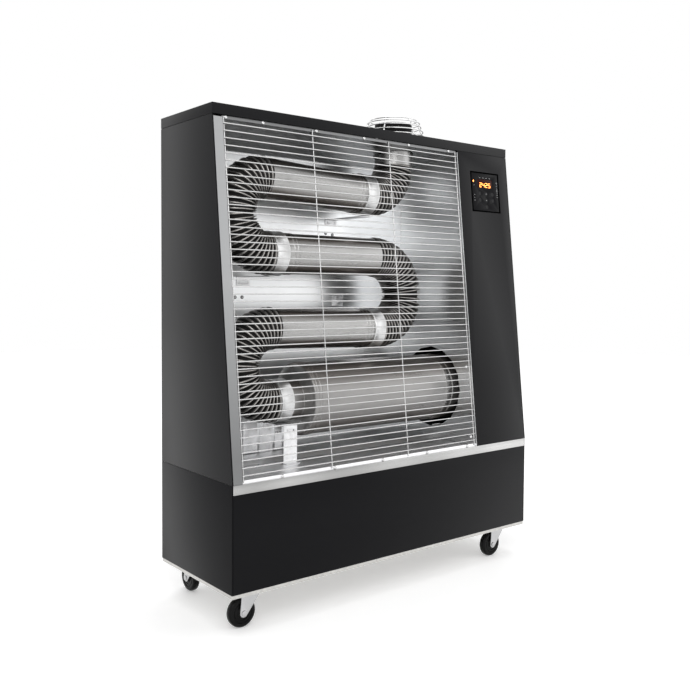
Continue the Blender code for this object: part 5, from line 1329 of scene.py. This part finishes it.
@dataclass
class ControlPanel:
    """Display, keys and marks in the control column."""

    left: float = 0.8921
    width: float = 0.1244
    bottom: float = 0.9657
    height: float = 0.1225
    set_back: float = 0.0005
    display_w: float = 0.066
    display_h: float = 0.026
    display_depth: float = 0.001
    display_share: Pair = (0.50, 0.72)
    digits_share: Pair = (0.50, 0.68)
    digits: str = "2425"
    digit_w: float = 0.0085
    digit_h: float = 0.0125
    bar: float = 0.0016
    key_d: float = 0.012
    key_l: float = 0.0068
    key_proud: float = 0.0004
    keys: tuple[Pair, ...] = (
        (0.29, 0.46),
        (0.52, 0.46),
        (0.75, 0.46),
        (0.29, 0.30),
        (0.52, 0.30),
        (0.75, 0.30),
        (0.52, 0.13),
    )
    dotted_keys: tuple[int, ...] = (2, 5)
    seam_shade_w: float = 0.0038

    def frame_at(self, share_x: float, share_z: float, proud: float = 0.0) -> Matrix:
        """Frame on the panel's face.

        Args:
            share_x: place across, as a share of the width.
            share_z: place up, as a share of the height.
            proud: distance out of the face.

        Returns:
            The frame, Z outwards.
        """
        point = LAYOUT.on_front(
            self.left + share_x * self.width, self.bottom + share_z * self.height, self.set_back
        )
        return LAYOUT.front_frame(point) @ Matrix.Translation((0, 0, proud))

    def build(self) -> None:
        """Make the panel's face, its window, a near-black frame of painted shade in the gap round it, the digits,
        the marks and the keys.
        """
        bezel = Solid()
        bezel.copy_node("control_bezel", 0.0003)
        bezel.finish("control_bezel_skin", Stock.PANEL, replaces=["control_bezel"])
        floor = -self.display_depth
        screen = Solid()
        size = (self.display_w - 0.0006, self.display_h - 0.0006, 0.0004)
        screen.block(size, self.frame_at(*self.display_share, floor + 0.0003), 0.0001)
        screen.finish("display_window", Stock.SCREEN)
        # Painted shade: near-black strips along the panel's four edges stand in for the shadowed gap.
        seam = Solid()
        for side in (0.0, 1.0):
            upright = (self.seam_shade_w, self.height, 0.0003)
            seam.block(upright, self.frame_at(side + (0.5 - side) * self.seam_shade_w / self.width, 0.5, 0.0001))
            level = (self.width, self.seam_shade_w, 0.0003)
            seam.block(level, self.frame_at(0.5, side + (0.5 - side) * self.seam_shade_w / self.height, 0.0001))
        seam.finish("panel_seam_shade", Stock.PAINTED_SHADE_BLACK)
        self.show_digits(floor + 0.0005)
        self.make_keys()
        self.print_marks()

    def show_digits(self, proud: float) -> None:
        """Seven-segment digits."""
        segments = {
            "0": "abcdef",
            "1": "bc",
            "2": "abged",
            "3": "abgcd",
            "4": "fgbc",
            "5": "afgcd",
        }
        w = self.digit_w
        h = self.digit_h
        bars = {
            "a": (0.0, h / 2, True),
            "g": (0.0, 0.0, True),
            "d": (0.0, -h / 2, True),
            "b": (w / 2, h / 4, False),
            "c": (w / 2, -h / 4, False),
            "f": (-w / 2, h / 4, False),
            "e": (-w / 2, -h / 4, False),
        }
        solid = Solid()
        pitch = 0.0130
        for i, digit in enumerate(self.digits):
            offset = (i - (len(self.digits) - 1) / 2) * pitch
            for segment in segments[digit]:
                u, v, flat = bars[segment]
                length = (w if flat else h / 2) - self.bar * 0.45
                size = (length, self.bar, 0.0002) if flat else (self.bar, length, 0.0002)
                place = self.frame_at(*self.digits_share, proud) @ Matrix.Translation((offset + u, v, 0))
                solid.block(size, place)
        solid.finish("display_digits", Stock.GLOW)

    def make_keys(self) -> None:
        """Round keys, each with a dished top."""
        r = self.key_d / 2
        for number, (share_x, share_z) in enumerate(self.keys, start=1):
            place = self.frame_at(share_x, share_z, self.key_proud)
            outline = [
                (-self.key_l, 0),
                (-self.key_l, r),
                (-0.0004, r),
                (-0.0001, r - 0.0003),
                (0, r - 0.0008),
                (-0.0002, r - 0.0020),
                (-0.0004, 0),
            ]
            solid = Solid()
            solid.lathe(outline, place, 32)
            body = f"key_{number}_cap"
            solid.finish(f"key_{number}_skin", Stock.KEY, body=body, replaces=[f"key_{number}"])
            if number in self.dotted_keys:
                dot = Solid()
                dot.lathe([(-0.0003, 0), (-0.0003, r * 0.2), (0, r * 0.2), (0, 0)], place, 16)
                dot.finish(f"key_{number}_dot", Stock.PRINT, body=body)

    def print_marks(self) -> None:
        """Plain marks beside the window and one lit drop."""
        lit = Solid()
        drop = []
        steps = 14
        for i in range(steps):
            angle = math.pi / 2 + 2 * math.pi * i / steps
            reach = 0.0026 * (1.45 if i == 0 else 1.0)
            drop.append((reach * 0.85 * math.cos(angle), reach * math.sin(angle)))
        lit.prism(drop, 0.0002, self.frame_at(0.085, 0.76, 0.0))
        lit.finish("lit_drop", Stock.GLOW)
        marks = Solid()
        for share_z in (0.69, 0.62, 0.52, 0.46, 0.40):
            marks.block((0.004, 0.0010, 0.0002), self.frame_at(0.93, share_z, 0.0001))
        for share_z in (0.76, 0.57):
            ring = [(0.0, 0.0014), (0.0, 0.0021), (0.0002, 0.0021), (0.0002, 0.0014)]
            marks.lathe(ring, self.frame_at(0.93, share_z, 0.0), 20, closed=True)
        for share_z in (0.66, 0.42, 0.35, 0.28):
            marks.block((0.0035, 0.0010, 0.0002), self.frame_at(0.10, share_z, 0.0001))
        for share_x in (0.32, 0.44, 0.56, 0.68):
            marks.block((0.006, 0.0008, 0.0002), self.frame_at(share_x, 0.86, 0.0001))
        marks.finish("panel_marks", Stock.PRINT)


@dataclass
class Caster:
    """One swivel caster: fork and wheel."""

    name: str
    x: float
    y: float
    trail: Vector
    wheel_r: float = 0.0375
    wheel_w: float = 0.022
    trail_length: float = 0.022

    def build(self) -> None:
        """Round the fork's edges and spin the wheel."""
        fork = Solid()
        node = f"caster_fork_{self.name}"
        fork.copy_node(node, 0.0004)
        # The fork gets the darker zinc copy: painted shade.
        fork.finish(f"{node}_skin", Stock.SHADED_FORK, body=f"swivel_{self.name}", replaces=[node])
        self.make_wheel()

    def make_wheel(self) -> None:
        """Wheel with a rounded tread, grooved sides and a raised hub."""
        half = self.wheel_w / 2
        r = self.wheel_r
        side = [
            (half, 0.0053),
            (half, 0.012),
            (half - 0.0006, 0.013),
            (half - 0.003, 0.0145),
            (half - 0.0032, 0.0185),
            (half - 0.0016, 0.0195),
            (half - 0.0016, 0.0225),
            (half - 0.003, 0.0235),
            (half - 0.003, 0.0255),
            (half - 0.0012, 0.0268),
            (half - 0.001, 0.031),
            (half - 0.002, 0.0345),
            (half - 0.0042, r - 0.0009),
            (half - 0.0066, r - 0.0001),
        ]
        outline = side + [(0.0, r)] + [(-along, radius) for along, radius in reversed(side)]
        across = Vector((-self.trail.y, self.trail.x, 0))
        hub = Vector((self.x, self.y, r)) + self.trail * self.trail_length
        solid = Solid()
        solid.lathe(outline, facing(hub, across), 64, closed=True)
        node = f"caster_wheel_{self.name}"
        solid.finish(f"{node}_skin", Stock.TYRE, body=f"roller_{self.name}", replaces=[node])


# Studio


@dataclass
class Studio:
    """Floor, light and camera."""

    eye: Triple = (-1.5381, -1.8713, 0.8297)
    yaw: float = 0.675
    pitch: float = -0.0414
    roll: float = -0.0063
    lens: float = 43.60
    sensor: float = 36.0
    shift_y: float = -0.0319
    floor_radius: float = 9.0
    floor_lift: Pair = (0.245, 0.46)
    ambient: float = 0.70

    def build(self) -> None:
        """Set everything up."""
        self.make_floor()
        self.make_lights()
        self.make_world()
        self.make_camera()
        bpy.context.scene.view_settings.view_transform = "Standard"

    def make_floor(self) -> None:
        """Pale floor that stays white where no shadow falls."""
        bm = bmesh.new()
        bmesh.ops.create_circle(bm, cap_ends=True, segments=96, radius=self.floor_radius)
        mesh = bpy.data.meshes.new("floor")
        bm.to_mesh(mesh)
        bm.free()
        floor = bpy.data.objects.new("floor", mesh)
        bpy.context.scene.collection.objects.link(floor)
        material = bpy.data.materials.new("floor paint")
        graph = Graph(material)
        graph.feed("Base Color", (0.93, 0.93, 0.93, 1.0))
        graph.feed("Roughness", 0.6)
        graph.feed("Specular IOR Level", 0.2)
        camera = graph.node("ShaderNodeLightPath", output="Is Camera Ray")
        glossy = graph.node("ShaderNodeLightPath", output="Is Glossy Ray")
        reach = graph.node("ShaderNodeVectorMath", {"operation": "LENGTH"}, {0: graph.place()}, "Value")
        near, far = self.floor_lift
        level = graph.node(
            "ShaderNodeMapRange",
            inputs={"Value": reach, "From Min": 1.0, "From Max": 3.2, "To Min": near, "To Max": far},
        )
        lift = (camera + glossy) * level
        graph.feed("Emission Color", graph.blend(lift, (0.0, 0.0, 0.0, 1.0), (1.0, 1.0, 1.0, 1.0)))
        graph.feed("Emission Strength", 1.0)
        mesh.materials.append(material)

    def add_area(self, name: str, place: Triple, aim: Triple, size: Pair, power: float) -> None:
        """Add one soft box.

        Args:
            name: the lamp's name.
            place: where it hangs.
            aim: what it points at.
            size: its two sides.
            power: in watts.
        """
        data = bpy.data.lights.new(name, "AREA")
        data.shape = "RECTANGLE"
        data.size, data.size_y = size
        data.energy = power
        lamp = bpy.data.objects.new(name, data)
        lamp.location = place
        lamp.rotation_euler = (Vector(aim) - Vector(place)).to_track_quat("-Z", "Y").to_euler()
        bpy.context.scene.collection.objects.link(lamp)

    def make_lights(self) -> None:
        """Key from the upper left front, fill from the right, and a top light."""
        middle = (0.0, 0.0, 0.7)
        self.add_area("key light", (-2.2, -2.6, 2.8), middle, (3.0, 2.4), 46.0)
        self.add_area("fill light", (2.6, -2.0, 1.6), middle, (2.4, 2.4), 14.0)
        self.add_area("top light", (0.2, 0.3, 3.4), middle, (3.0, 2.4), 40.0)

    def make_world(self) -> None:
        """White surround for the camera and for reflections, softer as a light."""
        world = bpy.data.worlds.new("studio")
        world.use_nodes = True
        tree = world.node_tree
        background = tree.nodes["Background"]
        path = tree.nodes.new("ShaderNodeLightPath")
        direct = tree.nodes.new("ShaderNodeMath")
        direct.operation = "MAXIMUM"
        tree.links.new(path.outputs["Is Camera Ray"], direct.inputs[0])
        tree.links.new(path.outputs["Is Transmission Ray"], direct.inputs[1])
        seen = tree.nodes.new("ShaderNodeMath")
        seen.operation = "MAXIMUM"
        tree.links.new(direct.outputs[0], seen.inputs[0])
        tree.links.new(path.outputs["Is Glossy Ray"], seen.inputs[1])
        strength = tree.nodes.new("ShaderNodeMapRange")
        strength.inputs["To Min"].default_value = self.ambient
        strength.inputs["To Max"].default_value = 1.0
        tree.links.new(seen.outputs[0], strength.inputs["Value"])
        background.inputs["Color"].default_value = (1.0, 1.0, 1.0, 1.0)
        tree.links.new(strength.outputs["Result"], background.inputs["Strength"])
        bpy.context.scene.world = world

    def make_camera(self) -> None:
        """Camera at the photograph's viewpoint."""
        ahead = Vector((math.sin(self.yaw), math.cos(self.yaw), 0))
        right = Vector((math.cos(self.yaw), -math.sin(self.yaw), 0))
        up = Vector((0, 0, 1))
        look = ahead * math.cos(self.pitch) + up * math.sin(self.pitch)
        lift = up * math.cos(self.pitch) - ahead * math.sin(self.pitch)
        image_x = right * math.cos(self.roll) - lift * math.sin(self.roll)
        image_y = right * math.sin(self.roll) + lift * math.cos(self.roll)
        turn = Matrix((image_x, image_y, -look)).transposed()
        data = bpy.data.cameras.new("camera")
        data.sensor_width = self.sensor
        data.lens = self.lens
        data.shift_y = self.shift_y
        camera = bpy.data.objects.new("camera", data)
        camera.matrix_world = Matrix.Translation(self.eye) @ turn.to_4x4()
        bpy.context.scene.collection.objects.link(camera)
        bpy.context.scene.camera = camera


def main() -> None:
    """Build every sub-assembly in order."""
    logging.basicConfig(level=logging.INFO, format="%(name)s %(message)s")
    Studio().build()
    CabinetShell().build()
    RadiantChamber().build()
    WireGrille().build()
    TubeRun().build()
    CombustionCylinder().build()
    Flue().build()
    BurnerBay().build()
    ControlPanel().build()
    left = Vector((-1, 0, 0))
    back = Vector((0, 1, 0))
    front_y = LAYOUT.front + 0.053
    rear_y = LAYOUT.back - 0.036
    for caster in (
        Caster("front_left", -0.452, front_y, left),
        Caster("front_right", 0.452, front_y, left),
        Caster("rear_left", -0.452, rear_y, back),
        Caster("rear_right", 0.452, rear_y, back),
    ):
        caster.build()


if __name__ == "__main__":
    main()
